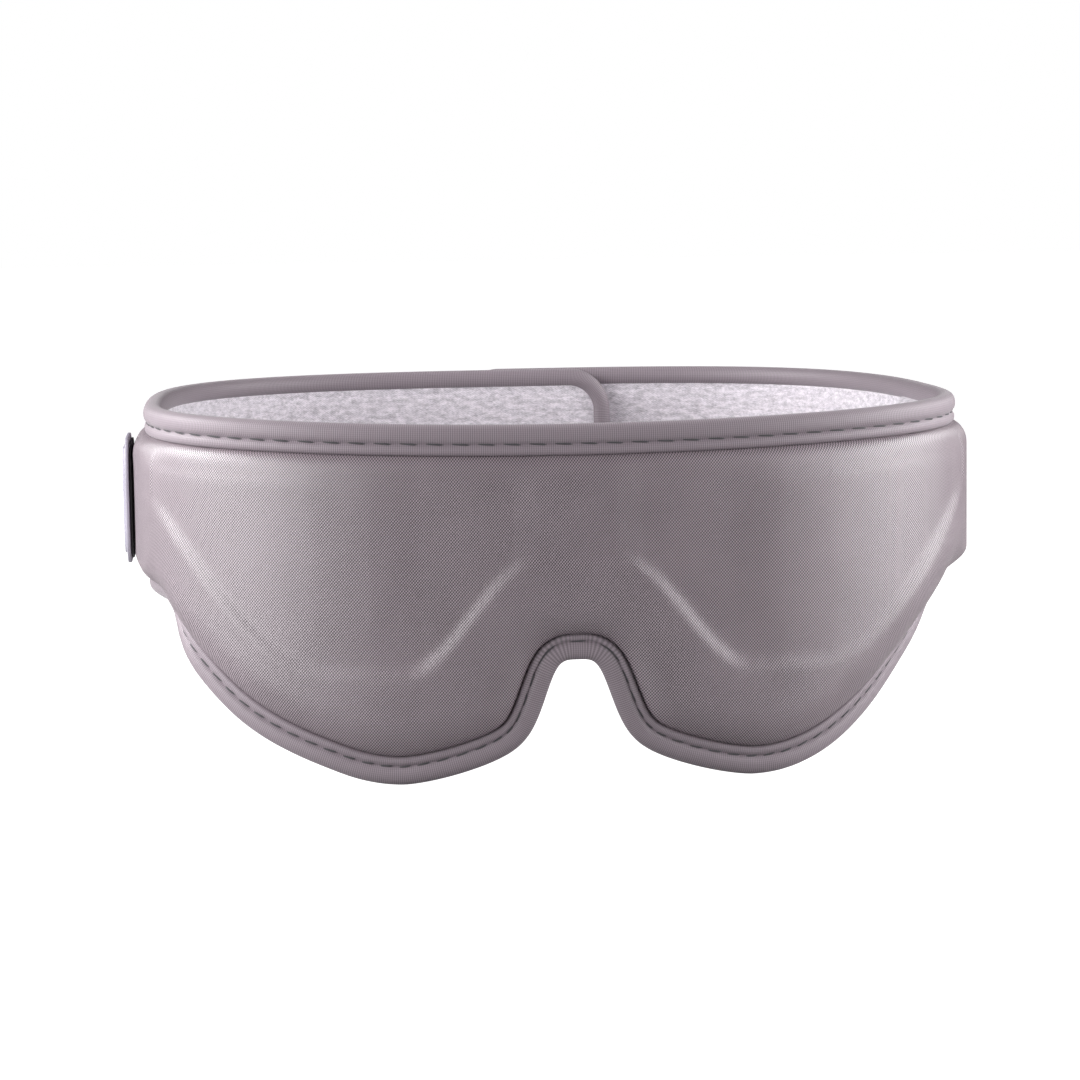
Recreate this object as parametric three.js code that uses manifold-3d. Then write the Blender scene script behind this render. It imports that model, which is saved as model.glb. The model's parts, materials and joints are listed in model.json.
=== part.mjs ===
// Wrap-around eye massager mask: a padded front with a nose notch, vibration motors over the brows and
// temples, a control pod on one temple, a battery in the other, and two bound straps that close with hook
// and loop at the back of the head. Millimetres, +Z up, the front faces -Y, and the lowest point is at z = 0.
import * as THREE from "three";
import { mergeVertices } from "three/addons/utils/BufferGeometryUtils.js";
import Module from "manifold-3d";

const wasm = await Module();
wasm.setup();

// ---- driving dimensions ----
// The plan of the head ring, a squared oval, measured to the middle of its thickness.
const HALF_WIDTH = 98;
const FRONT_DEPTH = 67;
const BACK_DEPTH = 112;
const SQUARENESS = 2.95;

// Heights of the outline above the lowest point of the two cheek lobes.
const TOP_HEIGHT = 86.5;
const BROW_DIP = 3.1;
const STRAP_FOOT = 38;
const LOBE_AT = 41;
const LOBE_ROUND = 0.0489;
const LOBE_RUN = 85;
const NOTCH_HEIGHT = 19.24;
const NOTCH_HALF_WIDTH = 8.28;
const NOTCH_POWER = 4.27;
const NOTCH_FLAT = 8;

// The lower edge leans in towards the cheeks, beside the nose lobes and before the temples.
const TUCK = 4.5;
const TUCK_HEIGHT = 26;

// Bound edge: a folded tape over the two fabric flanges.
const BIND_OUTER_LEG = 6.8;
const BIND_INNER_LEG = 5.2;
const BIND_HALF = 2.5;
const SLOT_HALF = 1.35;
const SLOT_DEPTH = 1.5;
const FLANGE_START = 1.8;
const FLANGE_OUT = 1.05;
const FLANGE_IN = 0.15;
const PUFF_START = 7;
const LINING_PUFF_START = 5.7;

// Front padding, as offsets from the middle of the ring: + is away from the head.
const COVER_THICKNESS = 2;
const FRONT_PUFF = 4.7;
const WING_PUFF = 4.2;
const CREASE_BRIDGE = 53.5;
const CREASE_LOW = 26.4;
const CREASE_LOW_AT = 47;
const FACE_BULK = 11;
const NOSE_BULK = 5;
const WING_BULK = 5.5;
const LINING_THICKNESS = 0.9;
const PAD_OUTSIDE = -1.3;
const GAP = 0.45;
const EYE = { at: 33, height: 50, halfWidth: 23, halfHeight: 16, depth: 7 };

// Where the front ends and the straps bend and end, along the ring from the nose.
const WING_END = 172;
const HINGE_AT = 174;
const KNEE_AT = 236;
const HINGE_GAP = 1;
const OUTER_PAST_BACK = 14.7;
const INNER_PAST_BACK = 29;
const TIP_RADIUS = 12;
const LAP_OFFSET = 5.4;
const LAP_START = 190;
const LAP_FULL = 270;
const STRAP_PUFF = 0.7;

// Modules in the temples.
const POD_AT = -141;
const BATTERY_AT = 141;
const MODULE_HEIGHT = 62.5;
const MOTORS = [
  { at: -72, height: 60 },
  { at: -25, height: 65 },
  { at: 25, height: 65 },
  { at: 72, height: 60 },
];

// ---- the plan of the ring, by distance along it ----
const PLAN_STEPS = 4000;
const PLAN_REACH = Math.PI * 1.2;

function planPoint(angle) {
  const across = Math.abs(Math.sin(angle)) / HALF_WIDTH;
  const depth = Math.cos(angle) > 0 ? FRONT_DEPTH : BACK_DEPTH;
  const along = Math.abs(Math.cos(angle)) / depth;
  const radius = (across ** SQUARENESS + along ** SQUARENESS) ** (-1 / SQUARENESS);
  return new THREE.Vector2(radius * Math.sin(angle), -radius * Math.cos(angle));
}

// One side of the ring, sampled finely from the nose round past the back of the head.
const plan = [{ point: planPoint(0), distance: 0 }];
for (let i = 1; i <= PLAN_STEPS; i++) {
  const point = planPoint((i * PLAN_REACH) / PLAN_STEPS);
  const last = plan[i - 1];
  plan.push({ point, distance: last.distance + point.distanceTo(last.point) });
}
const HALF_RING = plan[Math.round(PLAN_STEPS / 1.2)].distance;

// The point, direction and outward normal of the ring at a signed distance from the nose.
function station(s) {
  const away = Math.abs(s);
  let low = 0;
  let high = PLAN_STEPS;
  while (high - low > 1) {
    const middle = (low + high) >> 1;
    if (plan[middle].distance > away) high = middle;
    else low = middle;
  }
  const a = plan[low];
  const b = plan[high];
  const point = a.point.clone().lerp(b.point, (away - a.distance) / (b.distance - a.distance));
  const before = plan[Math.max(0, low - 8)].point;
  const direction = plan[Math.min(PLAN_STEPS, high + 8)].point.clone().sub(before).normalize();
  if (low < 8) direction.set(1, 0);
  const side = s < 0 ? -1 : 1;
  return {
    point: new THREE.Vector2(side * point.x, point.y),
    direction: new THREE.Vector2(direction.x, side * direction.y),
    normal: new THREE.Vector2(side * direction.y, -direction.x),
  };
}

// Flat pattern (s along the ring, z up) to space, at an offset from the ring's middle.
function wrap(s, z, offset) {
  const at = station(s);
  const out = offset - tuck(s, z);
  return new THREE.Vector3(at.point.x + at.normal.x * out, at.point.y + at.normal.y * out, z);
}

// ---- outlines in the flat pattern ----
const clamp01 = (x) => Math.min(1, Math.max(0, x));
const smooth = (x) => clamp01(x) ** 2 * (3 - 2 * clamp01(x));
const hump = (x) => Math.sin((Math.PI / 2) * clamp01(x)) ** 2;
const pillow = (x) => Math.sqrt(1 - (1 - clamp01(x)) ** 2);

function topHeight(s) {
  return TOP_HEIGHT - BROW_DIP * (1 - hump(Math.abs(s) / 140));
}

function bottomHeight(s) {
  const away = Math.abs(s);
  const notch = NOTCH_HEIGHT / (1 + (away / NOTCH_HALF_WIDTH) ** NOTCH_POWER);
  const eased = (away ** 4 + NOTCH_FLAT ** 4) ** 0.25;
  const inner = LOBE_ROUND * Math.max(0, LOBE_AT - eased) ** 1.5;
  return notch + inner + STRAP_FOOT * hump((away - LOBE_AT) / LOBE_RUN);
}

function tuck(s, z) {
  const away = Math.abs(s);
  const cheek = smooth((away - 45) / 45) * (1 - smooth((away - 106) / 15));
  return TUCK * cheek * (1 - smooth((z - bottomHeight(s)) / TUCK_HEIGHT));
}

// The lower edge of the raised panel over the carrier frame.
function creaseHeight(s) {
  const away = Math.abs(s);
  const fall = (CREASE_BRIDGE - CREASE_LOW) * (1 - hump((away - 9) / (CREASE_LOW_AT - 9)));
  return CREASE_LOW + fall + 60 * hump((away - CREASE_LOW_AT) / 95);
}

// Bottom edge of the front by distance along it, with its inward normal, so that insets keep their width.
const EDGE_STEP = 0.25;
const edge = [];
for (let s = 0, length = 0; s <= WING_END + 1e-6; s += EDGE_STEP) {
  const z = bottomHeight(s);
  const last = edge[edge.length - 1];
  if (last) length += Math.hypot(s - last.s, z - last.z);
  const slope = (bottomHeight(s + 0.05) - bottomHeight(s - 0.05)) / 0.1;
  const size = Math.hypot(1, slope);
  edge.push({ s, z, length, normal: [-slope / size, 1 / size] });
}
const EDGE_LENGTH = edge[edge.length - 1].length;

function edgeAt(u) {
  const wanted = Math.abs(u) * EDGE_LENGTH;
  let i = edge.findIndex((e) => e.length >= wanted - 1e-9);
  i = Math.max(1, i < 0 ? edge.length - 1 : i);
  const t = clamp01((wanted - edge[i - 1].length) / (edge[i].length - edge[i - 1].length));
  const mix = (a, b) => a + (b - a) * t;
  const side = u < 0 ? -1 : 1;
  return {
    s: side * mix(edge[i - 1].s, edge[i].s),
    z: mix(edge[i - 1].z, edge[i].z),
    normal: [
      side * mix(edge[i - 1].normal[0], edge[i].normal[0]),
      mix(edge[i - 1].normal[1], edge[i].normal[1]),
    ],
  };
}

// How far a flat point is inside the front's outline.
function inset(s, z) {
  let nearest = topHeight(s) - z;
  for (let i = 0; i < edge.length; i += 4) {
    nearest = Math.min(nearest, Math.hypot(Math.abs(s) - edge[i].s, z - edge[i].z));
  }
  return nearest;
}

// ---- offsets of the padded front ----
function wingShare(s) {
  return smooth((Math.abs(s) - 98) / 16);
}

function wingFade(s) {
  return 1 - smooth((Math.abs(s) - 160) / 10);
}

function coverOutside(s, z) {
  const puff = (FRONT_PUFF + (WING_PUFF - FRONT_PUFF) * wingShare(s)) * wingFade(s);
  return FLANGE_OUT + puff * pillow((inset(s, z) - PUFF_START) / 5);
}

function coverInside(s, z) {
  const share = smooth((inset(s, z) - PUFF_START) / 3) * wingFade(s);
  const flange = FLANGE_OUT - FLANGE_IN;
  return coverOutside(s, z) - flange - (COVER_THICKNESS - flange) * share;
}

function eyeHollow(s, z) {
  const x = (Math.abs(s) - EYE.at) / EYE.halfWidth;
  const y = (z - EYE.height) / EYE.halfHeight;
  const reach = (Math.abs(x) ** 2.6 + Math.abs(y) ** 2.6) ** (1 / 2.6);
  return EYE.depth * (1 - smooth((reach - 0.55) / 0.45));
}

function faceBulk(s) {
  const away = Math.abs(s);
  const nose = NOSE_BULK + (FACE_BULK - NOSE_BULK) * smooth((away - 2) / 14);
  return nose + (WING_BULK - FACE_BULK) * smooth((away - 62) / 40);
}

// The face side of the lining, and its outer side against the foam.
function liningInside(s, z) {
  const share = pillow((inset(s, z) - LINING_PUFF_START) / (15 - 9 * wingShare(s))) * wingFade(s);
  const hollow = eyeHollow(s, z) * clamp01(share * 1.2 - 0.2);
  return -FLANGE_OUT - faceBulk(s) * share + hollow;
}

const liningOutside = (s, z) => liningInside(s, z) + LINING_THICKNESS;

// ---- solids ----
function closedGeometry(positions, indices) {
  const geometry = new THREE.BufferGeometry();
  geometry.setAttribute("position", new THREE.Float32BufferAttribute(positions, 3));
  geometry.setIndex(indices);
  return geometry;
}

// A sheet with thickness between two grids of points: columns run along s, rows run upwards.
function slab(outer, inner) {
  const columns = outer.length - 1;
  const rows = outer[0].length - 1;
  const count = (columns + 1) * (rows + 1);
  const positions = [outer, inner].flatMap((grid) => grid.flat().flatMap((p) => p.toArray()));
  const out = (i, j) => i * (rows + 1) + j;
  const back = (i, j) => count + out(i, j);
  const indices = [];
  const quad = (a, b, c, d) => indices.push(a, b, c, a, c, d);
  for (let i = 0; i < columns; i++) {
    for (let j = 0; j < rows; j++) {
      quad(out(i, j), out(i + 1, j), out(i + 1, j + 1), out(i, j + 1));
      quad(back(i, j), back(i, j + 1), back(i + 1, j + 1), back(i + 1, j));
    }
    quad(out(i, 0), back(i, 0), back(i + 1, 0), out(i + 1, 0));
    quad(out(i + 1, rows), back(i + 1, rows), back(i, rows), out(i, rows));
  }
  for (let j = 0; j < rows; j++) {
    quad(out(0, j + 1), back(0, j + 1), back(0, j), out(0, j));
    quad(out(columns, j), back(columns, j), back(columns, j + 1), out(columns, j + 1));
  }
  return closedGeometry(positions, indices);
}

// A layer over a flat grid of [s, z], between two offset functions.
function layer(grid, outside, inside) {
  const lift = (offset) => grid.map((column) => column.map(([s, z]) => wrap(s, z, offset(s, z))));
  return slab(lift(outside), lift(inside));
}

// A closed section of [inset, offset] carried along a path of { s, z, normal } with an offset of its own.
function sweep(path, section, shift = () => 0) {
  const ring = section.length;
  const positions = path.flatMap(({ s, z, normal }) =>
    section.flatMap(([h, d]) => {
      const at = s + normal[0] * h;
      return wrap(at, z + normal[1] * h, d + shift(at)).toArray();
    }),
  );
  const indices = [];
  for (let i = 0; i + 1 < path.length; i++) {
    for (let j = 0; j < ring; j++) {
      const a = i * ring + j;
      const b = i * ring + ((j + 1) % ring);
      indices.push(a, b, b + ring, a, b + ring, a + ring);
    }
  }
  const outline = section.map(([h, d]) => new THREE.Vector2(h, d));
  const last = (path.length - 1) * ring;
  for (const [a, b, c] of THREE.ShapeUtils.triangulateShape(outline, [])) {
    indices.push(a, b, c, last + c, last + b, last + a);
  }
  return facingOut(closedGeometry(positions, indices));
}

function facingOut(geometry) {
  const p = geometry.attributes.position;
  const index = geometry.index.array;
  let volume = 0;
  const corners = [0, 1, 2].map(() => new THREE.Vector3());
  for (let i = 0; i < index.length; i += 3) {
    corners.forEach((v, k) => v.fromBufferAttribute(p, index[i + k]));
    volume += corners[0].dot(corners[1].clone().cross(corners[2]));
  }
  if (volume < 0) for (let i = 0; i < index.length; i += 3) [index[i], index[i + 1]] = [index[i + 1], index[i]];
  return geometry;
}

function toSolid(geometry) {
  const bare = geometry.clone();
  bare.deleteAttribute("normal");
  bare.deleteAttribute("uv");
  const merged = mergeVertices(bare, 1e-4);
  return new wasm.Manifold(
    new wasm.Mesh({
      numProp: 3,
      vertProperties: merged.attributes.position.array,
      triVerts: new Uint32Array(merged.index.array),
    }),
  );
}

function toGeometry(solid) {
  const made = solid.getMesh();
  return closedGeometry(Array.from(made.vertProperties), Array.from(made.triVerts));
}

const cut = (geometry, ...tools) =>
  toGeometry(tools.reduce((solid, tool) => solid.subtract(toSolid(tool)), toSolid(geometry)));
const join = (geometry, ...others) =>
  toGeometry(others.reduce((solid, other) => solid.add(toSolid(other)), toSolid(geometry)));

function roundedRectangle(width, height, radius) {
  const shape = new THREE.Shape();
  const x = width / 2 - radius;
  const y = height / 2 - radius;
  shape.absarc(x, -y, radius, -Math.PI / 2, 0);
  shape.absarc(x, y, radius, 0, Math.PI / 2);
  shape.absarc(-x, y, radius, Math.PI / 2, Math.PI);
  shape.absarc(-x, -y, radius, Math.PI, 1.5 * Math.PI);
  return shape;
}

function plate(width, height, radius, from, to, at = [0, 0]) {
  const geometry = new THREE.ExtrudeGeometry(roundedRectangle(width, height, radius), {
    depth: to - from,
    bevelEnabled: false,
    curveSegments: 4,
  });
  return geometry.translate(at[0], at[1], from);
}

// A round post or disc along z, by its radius.
function post(radius, from, to, at = [0, 0], sides = 20) {
  return new THREE.CylinderGeometry(radius, radius, to - from, sides)
    .rotateX(Math.PI / 2)
    .translate(at[0], at[1], (from + to) / 2);
}

// ---- materials ----
const mauveTwill = new THREE.MeshStandardMaterial({ color: 0x9c8f97, roughness: 0.55 });
const mauveTape = new THREE.MeshStandardMaterial({ color: 0x8f838a, roughness: 0.6 });
const heather = new THREE.MeshStandardMaterial({ color: 0xd2cad2, roughness: 0.9 });
const foam = new THREE.MeshStandardMaterial({ color: 0xe6e2dc, roughness: 0.95 });
const framePlastic = new THREE.MeshStandardMaterial({ color: 0xd8d8da, roughness: 0.5 });
const blackPlastic = new THREE.MeshStandardMaterial({ color: 0x1d1c1e, roughness: 0.5 });
const silverPlastic = new THREE.MeshStandardMaterial({ color: 0x9d9aa6, roughness: 0.35, metalness: 0.3 });
const pearlPlastic = new THREE.MeshStandardMaterial({ color: 0xe8e4f0, roughness: 0.3 });
const boardGreen = new THREE.MeshStandardMaterial({ color: 0x1f5c3d, roughness: 0.5 });
const steel = new THREE.MeshStandardMaterial({ color: 0xb9bbbe, roughness: 0.3, metalness: 0.9 });
const brass = new THREE.MeshStandardMaterial({ color: 0xb9975a, roughness: 0.35, metalness: 0.9 });
const polyimide = new THREE.MeshStandardMaterial({ color: 0xc07a28, roughness: 0.4 });
const foil = new THREE.MeshStandardMaterial({ color: 0xb4b6ba, roughness: 0.4, metalness: 0.6 });
const silicone = new THREE.MeshStandardMaterial({ color: 0xa9a4b0, roughness: 0.7 });
const hookNylon = new THREE.MeshStandardMaterial({ color: 0x6f666c, roughness: 0.8 });

const mask = new THREE.Group();

function add(name, geometry, material, parent = mask) {
  const mesh = new THREE.Mesh(geometry, material);
  mesh.name = name;
  parent.add(mesh);
  return mesh;
}

// ---- padded front ----
const FRONT_COLUMNS = 52;
const COVER_ROWS = { near: [PUFF_START - 0.1, 8, 12], middle: 5 };
const LINING_ROWS = { near: [LINING_PUFF_START - 0.1, 10], middle: 8 };

// Column stations crowd round the nose notch, where the edge turns most.
const columnAt = (i) => {
  const t = (2 * i) / FRONT_COLUMNS - 1;
  return Math.sign(t) * (0.55 * Math.abs(t) + 0.45 * t * t);
};

// One column of the front's flat grid: out of the bottom edge at a right angle and up to the top edge.
function frontColumn(u, { near, middle }) {
  const foot = edgeAt(u);
  const headS = Math.sign(u) * WING_END * Math.abs(u);
  const insets = [FLANGE_START, ...near];
  const rise = insets.map((h) => [foot.s + foot.normal[0] * h, foot.z + foot.normal[1] * h]);
  const drop = insets.map((h) => [headS, topHeight(headS) - h]).reverse();
  const from = rise[rise.length - 1];
  const to = drop[0];
  const pull = Math.hypot(to[0] - from[0], to[1] - from[1]);
  const between = [];
  for (let k = 1; k < middle; k++) {
    const t = k / middle;
    const a = 2 * t ** 3 - 3 * t ** 2 + 1;
    const b = t ** 3 - 2 * t ** 2 + t;
    const c = 3 * t ** 2 - 2 * t ** 3;
    const d = t ** 3 - t ** 2;
    between.push([
      a * from[0] + b * pull * foot.normal[0] + c * to[0],
      a * from[1] + b * pull * foot.normal[1] + c * to[1] + d * pull,
    ]);
  }
  return [...rise, ...between, ...drop];
}

const frontGrid = (rows) =>
  Array.from({ length: FRONT_COLUMNS + 1 }, (_, i) => frontColumn(columnAt(i), rows));

// A flat tool that stands square to the ring, for a hole through the fabric.
function wallFrame(s, z) {
  const at = station(s);
  const tangent = new THREE.Vector3(at.direction.x, at.direction.y, 0);
  const normal = new THREE.Vector3(at.normal.x, at.normal.y, 0);
  const matrix = new THREE.Matrix4().makeBasis(tangent, new THREE.Vector3(0, 0, 1), normal);
  return matrix.setPosition(at.point.x, at.point.y, z);
}

const POD_WINDOW = { width: 27, height: 23, radius: 4 };
const podWindow = plate(POD_WINDOW.width, POD_WINDOW.height, POD_WINDOW.radius, -1, 12);
add(
  "front_cover",
  cut(
    layer(frontGrid(COVER_ROWS), coverOutside, coverInside),
    podWindow.applyMatrix4(wallFrame(POD_AT, MODULE_HEIGHT)),
  ),
  mauveTwill,
);
const liningGrid = frontGrid(LINING_ROWS);
add("face_lining", layer(liningGrid, liningOutside, liningInside), heather);

// The foam keeps clear of the bound edges and stops short of the two modules in the temples.
const PAD_END = 112;
const padGrid = liningGrid
  .filter((column) => column.every(([s]) => Math.abs(s) < PAD_END))
  .map((column) => column.slice(LINING_ROWS.near.length, -LINING_ROWS.near.length));
add("face_pad", layer(padGrid, () => PAD_OUTSIDE, (s, z) => liningOutside(s, z) + GAP), foam);

// The folded tape: a channel over both flanges, with a longer leg outside.
const tapeSection = [
  [0, -1.2],
  [0, 1.2],
  [1.1, BIND_HALF],
  [4.6, BIND_HALF],
  [BIND_OUTER_LEG, 2.2],
  [BIND_OUTER_LEG, SLOT_HALF],
  [SLOT_DEPTH, SLOT_HALF],
  [SLOT_DEPTH, -SLOT_HALF],
  [BIND_INNER_LEG, -SLOT_HALF],
  [BIND_INNER_LEG, -2],
  [4, -BIND_HALF],
  [1.1, -BIND_HALF],
];
const bottomPath = Array.from({ length: FRONT_COLUMNS + 1 }, (_, i) => edgeAt(columnAt(i)));
const frontTopPath = Array.from({ length: FRONT_COLUMNS + 1 }, (_, i) => {
  const s = WING_END * columnAt(i);
  return { s, z: topHeight(s), normal: [0, -1] };
});
add("bottom_binding", sweep(bottomPath, tapeSection), mauveTape);
add("top_binding", sweep(frontTopPath, tapeSection), mauveTape);

// ---- carrier frame, flex cable and motors ----
const FRAME_END = 92;
const FRAME_OUT = 3.2;
const FRAME_IN = 2.5;
const FRAME_TOP_INSET = 15;
const frameGrid = Array.from({ length: 33 }, (_, i) => {
  const s = FRAME_END * (i / 16 - 1);
  const low = Math.min(creaseHeight(s) + 3.2, topHeight(s) - FRAME_TOP_INSET - 6);
  const high = topHeight(s) - FRAME_TOP_INSET;
  return Array.from({ length: 4 }, (_, j) => [s, low + ((high - low) * j) / 3]);
});
const ventSlot = (s, z) => plate(4, 10, 1.9, 0, 8).applyMatrix4(wallFrame(s, z));
add(
  "carrier_frame",
  cut(
    layer(frameGrid, () => FRAME_OUT, () => FRAME_IN),
    ...[-52, -42, 42, 52].map((s) => ventSlot(s, 42)),
  ),
  framePlastic,
);

const FLEX_END = 123;
const FLEX_HALF = 3.5;
const flexHeight = (s) => 65 - 5 * smooth((Math.abs(s) - 25) / 47);
const flexGrid = Array.from({ length: 37 }, (_, i) => {
  const s = FLEX_END * (i / 18 - 1);
  return [-1, 1].map((side) => [s, flexHeight(s) + side * FLEX_HALF]);
});
add("flex_cable", layer(flexGrid, () => 2.2, () => 1.95), polyimide);

// A coin motor: steel can, base with a fixed shaft, and a weight that spins off centre.
const MOTOR = { radius: 5, wall: 0.4, top: 1.65, bottom: -0.95, shaft: 0.5, bore: 0.8 };
const motorSides = 24;
const canProfile = [
  [0, MOTOR.top - MOTOR.wall],
  [MOTOR.radius - MOTOR.wall, MOTOR.top - MOTOR.wall],
  [MOTOR.radius - MOTOR.wall, MOTOR.bottom],
  [MOTOR.radius, MOTOR.bottom],
  [MOTOR.radius, MOTOR.top],
  [0, MOTOR.top],
].map(([x, y]) => new THREE.Vector2(x, y));

function motorRotor() {
  const sector = new THREE.Shape();
  sector.moveTo(0, 0);
  sector.absarc(0, 0, 4.2, Math.PI * 1.02, Math.PI * 1.98);
  sector.lineTo(0, 0);
  const weight = new THREE.ExtrudeGeometry(sector, { depth: 1, bevelEnabled: false, curveSegments: 8 });
  weight.translate(0, 0, -0.1);
  const hub = post(1.5, -0.1, 0.9, [0, 0], 16);
  return cut(join(weight, hub), post(MOTOR.bore, -1, 2, [0, 0], 16));
}

MOTORS.forEach(({ at, height }, i) => {
  const spot = new THREE.Group();
  spot.applyMatrix4(wallFrame(at, height));
  mask.add(spot);
  const can = new THREE.LatheGeometry(canProfile, motorSides).rotateX(Math.PI / 2);
  add(`motor_can_${i + 1}`, facingOut(mergeBare(can)), steel, spot);
  const base = join(
    post(4.25, MOTOR.bottom, MOTOR.bottom + 0.4, [0, 0], motorSides),
    post(MOTOR.shaft, MOTOR.bottom + 0.1, 1, [0, 0], 12),
  );
  add(`motor_base_${i + 1}`, base, blackPlastic, spot);
  add(`motor_weight_${i + 1}`, motorRotor(), brass, spot);
});

function mergeBare(geometry) {
  geometry.deleteAttribute("normal");
  geometry.deleteAttribute("uv");
  return mergeVertices(geometry, 1e-4);
}

// ---- control module: tray, board, switches and port inside; pod outside ----
const TRAY = { width: 33, height: 27, radius: 3, floor: -4.3, rim: 1.3, wall: 1.2 };

function openTray() {
  const inner = [TRAY.width - 2 * TRAY.wall, TRAY.height - 2 * TRAY.wall, TRAY.radius - TRAY.wall];
  return cut(
    plate(TRAY.width, TRAY.height, TRAY.radius, TRAY.floor, TRAY.rim),
    plate(...inner, TRAY.floor + TRAY.wall, TRAY.rim + 1),
  );
}

const control = new THREE.Group();
control.applyMatrix4(wallFrame(POD_AT, MODULE_HEIGHT));
mask.add(control);

const SCREWS = [
  [-9, 7],
  [9, -7],
];
const screwPillar = (at) => post(1.9, TRAY.floor + 1, TRAY.rim, at, 16);
const screwHole = (at) => post(0.95, TRAY.floor + 1.6, TRAY.rim + 1, at, 12);
add(
  "control_tray",
  cut(join(openTray(), ...SCREWS.map(screwPillar)), ...SCREWS.map(screwHole)),
  blackPlastic,
  control,
);

const BOARD = { floor: -2.6, top: -1.6 };
const boardClearance = (at) => post(2.3, -4, 0, at, 16);
add(
  "main_board",
  cut(plate(29.6, 23.6, 1.2, BOARD.floor, BOARD.top), ...SCREWS.map(boardClearance)),
  boardGreen,
  control,
);

// Keys and port on the pod's face: x runs along the strap towards the nose, y upwards.
const POWER_KEY = { at: [1.5, 5.5], radius: 4.2 };
const MODE_KEY = { at: [1.5, -6.2], radius: 3 };
const PORT = { at: [-7.8, -0.4], width: 3.4, height: 9 };
const KEY_GAP = 0.3;
const SWITCH_TOP = 0.1;
const switchBody = (at) =>
  cut(
    plate(5, 5, 0.6, BOARD.top + 0.1, SWITCH_TOP, at),
    post(1.3, SWITCH_TOP - 0.8, SWITCH_TOP + 1, at, 12),
  );
add("power_switch", switchBody(POWER_KEY.at), blackPlastic, control);
add("mode_switch", switchBody(MODE_KEY.at), blackPlastic, control);

// Pod thicknesses, outwards from the ring: boss through the fabric, black base, silver bezel, pearl face.
const POD = { width: 34, height: 31, radius: 9, boss: 1.6, base: 5.5, bezel: 6, face: 7, dome: 7.6 };
const keyHole = (key, extra = KEY_GAP) => post(key.radius + extra, -3, 12, key.at, 24);
const portHole = (extra = KEY_GAP) =>
  plate(PORT.width + 2 * extra, PORT.height + 2 * extra, 1.5 + extra, -3, 12, PORT.at);
const stemHole = (key) => post(1.6, -3, 12, key.at, 12);
const LED = { at: [8.6, 5.5], radius: 1 };
const base = join(
  plate(POD.width - 2.4, POD.height - 2.4, POD.radius - 1.2, POD.base, POD.bezel - 0.1),
  plate(POD_WINDOW.width - 0.8, POD_WINDOW.height - 0.8, POD_WINDOW.radius - 0.4, POD.boss, POD.base + 0.2),
);
const screwSeat = (at) => post(1.15, 0, 9, at, 12);
const screwSink = (at) => post(2.1, 4.2, 9, at, 16);
add(
  "pod_base",
  cut(
    base,
    stemHole(POWER_KEY),
    stemHole(MODE_KEY),
    portHole(),
    post(LED.radius + 0.3, 0, 9, LED.at, 12),
    ...SCREWS.map(screwSeat),
    ...SCREWS.map(screwSink),
  ),
  blackPlastic,
  control,
);

const FACE = { width: 29, height: 26, radius: 6.8 };
add(
  "pod_bezel",
  cut(
    plate(POD.width, POD.height, POD.radius, POD.bezel + 0.1, POD.face),
    plate(FACE.width + 0.7, FACE.height + 0.7, FACE.radius + 0.35, 0, 12),
  ),
  silverPlastic,
  control,
);

const FLAP = { width: 5.4, height: 11.4, radius: 2, thickness: 0.9 };
const flapRecess = plate(FLAP.width + 0.6, FLAP.height + 0.6, FLAP.radius + 0.3, 0, 12, PORT.at);
const faceHoles = [keyHole(POWER_KEY), keyHole(MODE_KEY), post(LED.radius + 0.3, 0, 12, LED.at, 12)];
add(
  "pod_face",
  cut(plate(FACE.width, FACE.height, FACE.radius, POD.bezel + 0.1, POD.dome), ...faceHoles, flapRecess),
  pearlPlastic,
  control,
);

const screwProfile = [
  [0, -1.4],
  [0.6, -1.4],
  [0.75, 3.9],
  [0.75, 4.5],
  [1.8, 4.5],
  [1.8, 5.4],
  [0, 5.4],
].map(([x, y]) => new THREE.Vector2(x, y));
SCREWS.forEach((at, i) => {
  const screw = new THREE.LatheGeometry(screwProfile, 16).rotateX(Math.PI / 2).translate(at[0], at[1], 0);
  add(`pod_screw_${i + 1}`, facingOut(mergeBare(screw)), steel, control);
});

add("status_led", post(LED.radius, BOARD.top + 0.2, POD.dome, LED.at, 12), pearlPlastic, control);

// A key cap with its stem, which reaches down to the switch under it.
const KEY_REST_GAP = 0.6;
const KEY_FLOOR = 6.6;
function keyCap(key, proud) {
  return join(
    post(key.radius, KEY_FLOOR, POD.dome + proud, [0, 0], 24),
    post(1.1, SWITCH_TOP - 0.7 + KEY_REST_GAP, KEY_FLOOR + 0.2, [0, 0], 12),
  );
}
add("power_button", keyCap(POWER_KEY, 0.5), pearlPlastic, control).position.set(...POWER_KEY.at, 0);
add("mode_button", keyCap(MODE_KEY, 0.4), pearlPlastic, control).position.set(...MODE_KEY.at, 0);

// The charging socket stands on end, so its mouth is at the pod's face.
const socket = cut(
  plate(PORT.width, PORT.height, 1.5, BOARD.top + 0.2, POD.dome - 1.3, PORT.at),
  plate(PORT.width - 0.7, PORT.height - 0.7, 1.2, BOARD.top + 1.2, 12, PORT.at),
);
const tongue = plate(0.7, 6.6, 0.2, BOARD.top + 1.1, POD.dome - 2.3, PORT.at);
add("charge_socket", join(socket, tongue), steel, control);

// The flap lies flush in the face and turns on its rear edge.
const flapHinge = [PORT.at[0] - FLAP.width / 2, PORT.at[1], POD.dome];
const flap = plate(FLAP.width, FLAP.height, FLAP.radius, -FLAP.thickness, 0, [FLAP.width / 2, 0]);
add("port_flap", flap, silicone, control).position.set(...flapHinge);

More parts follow.
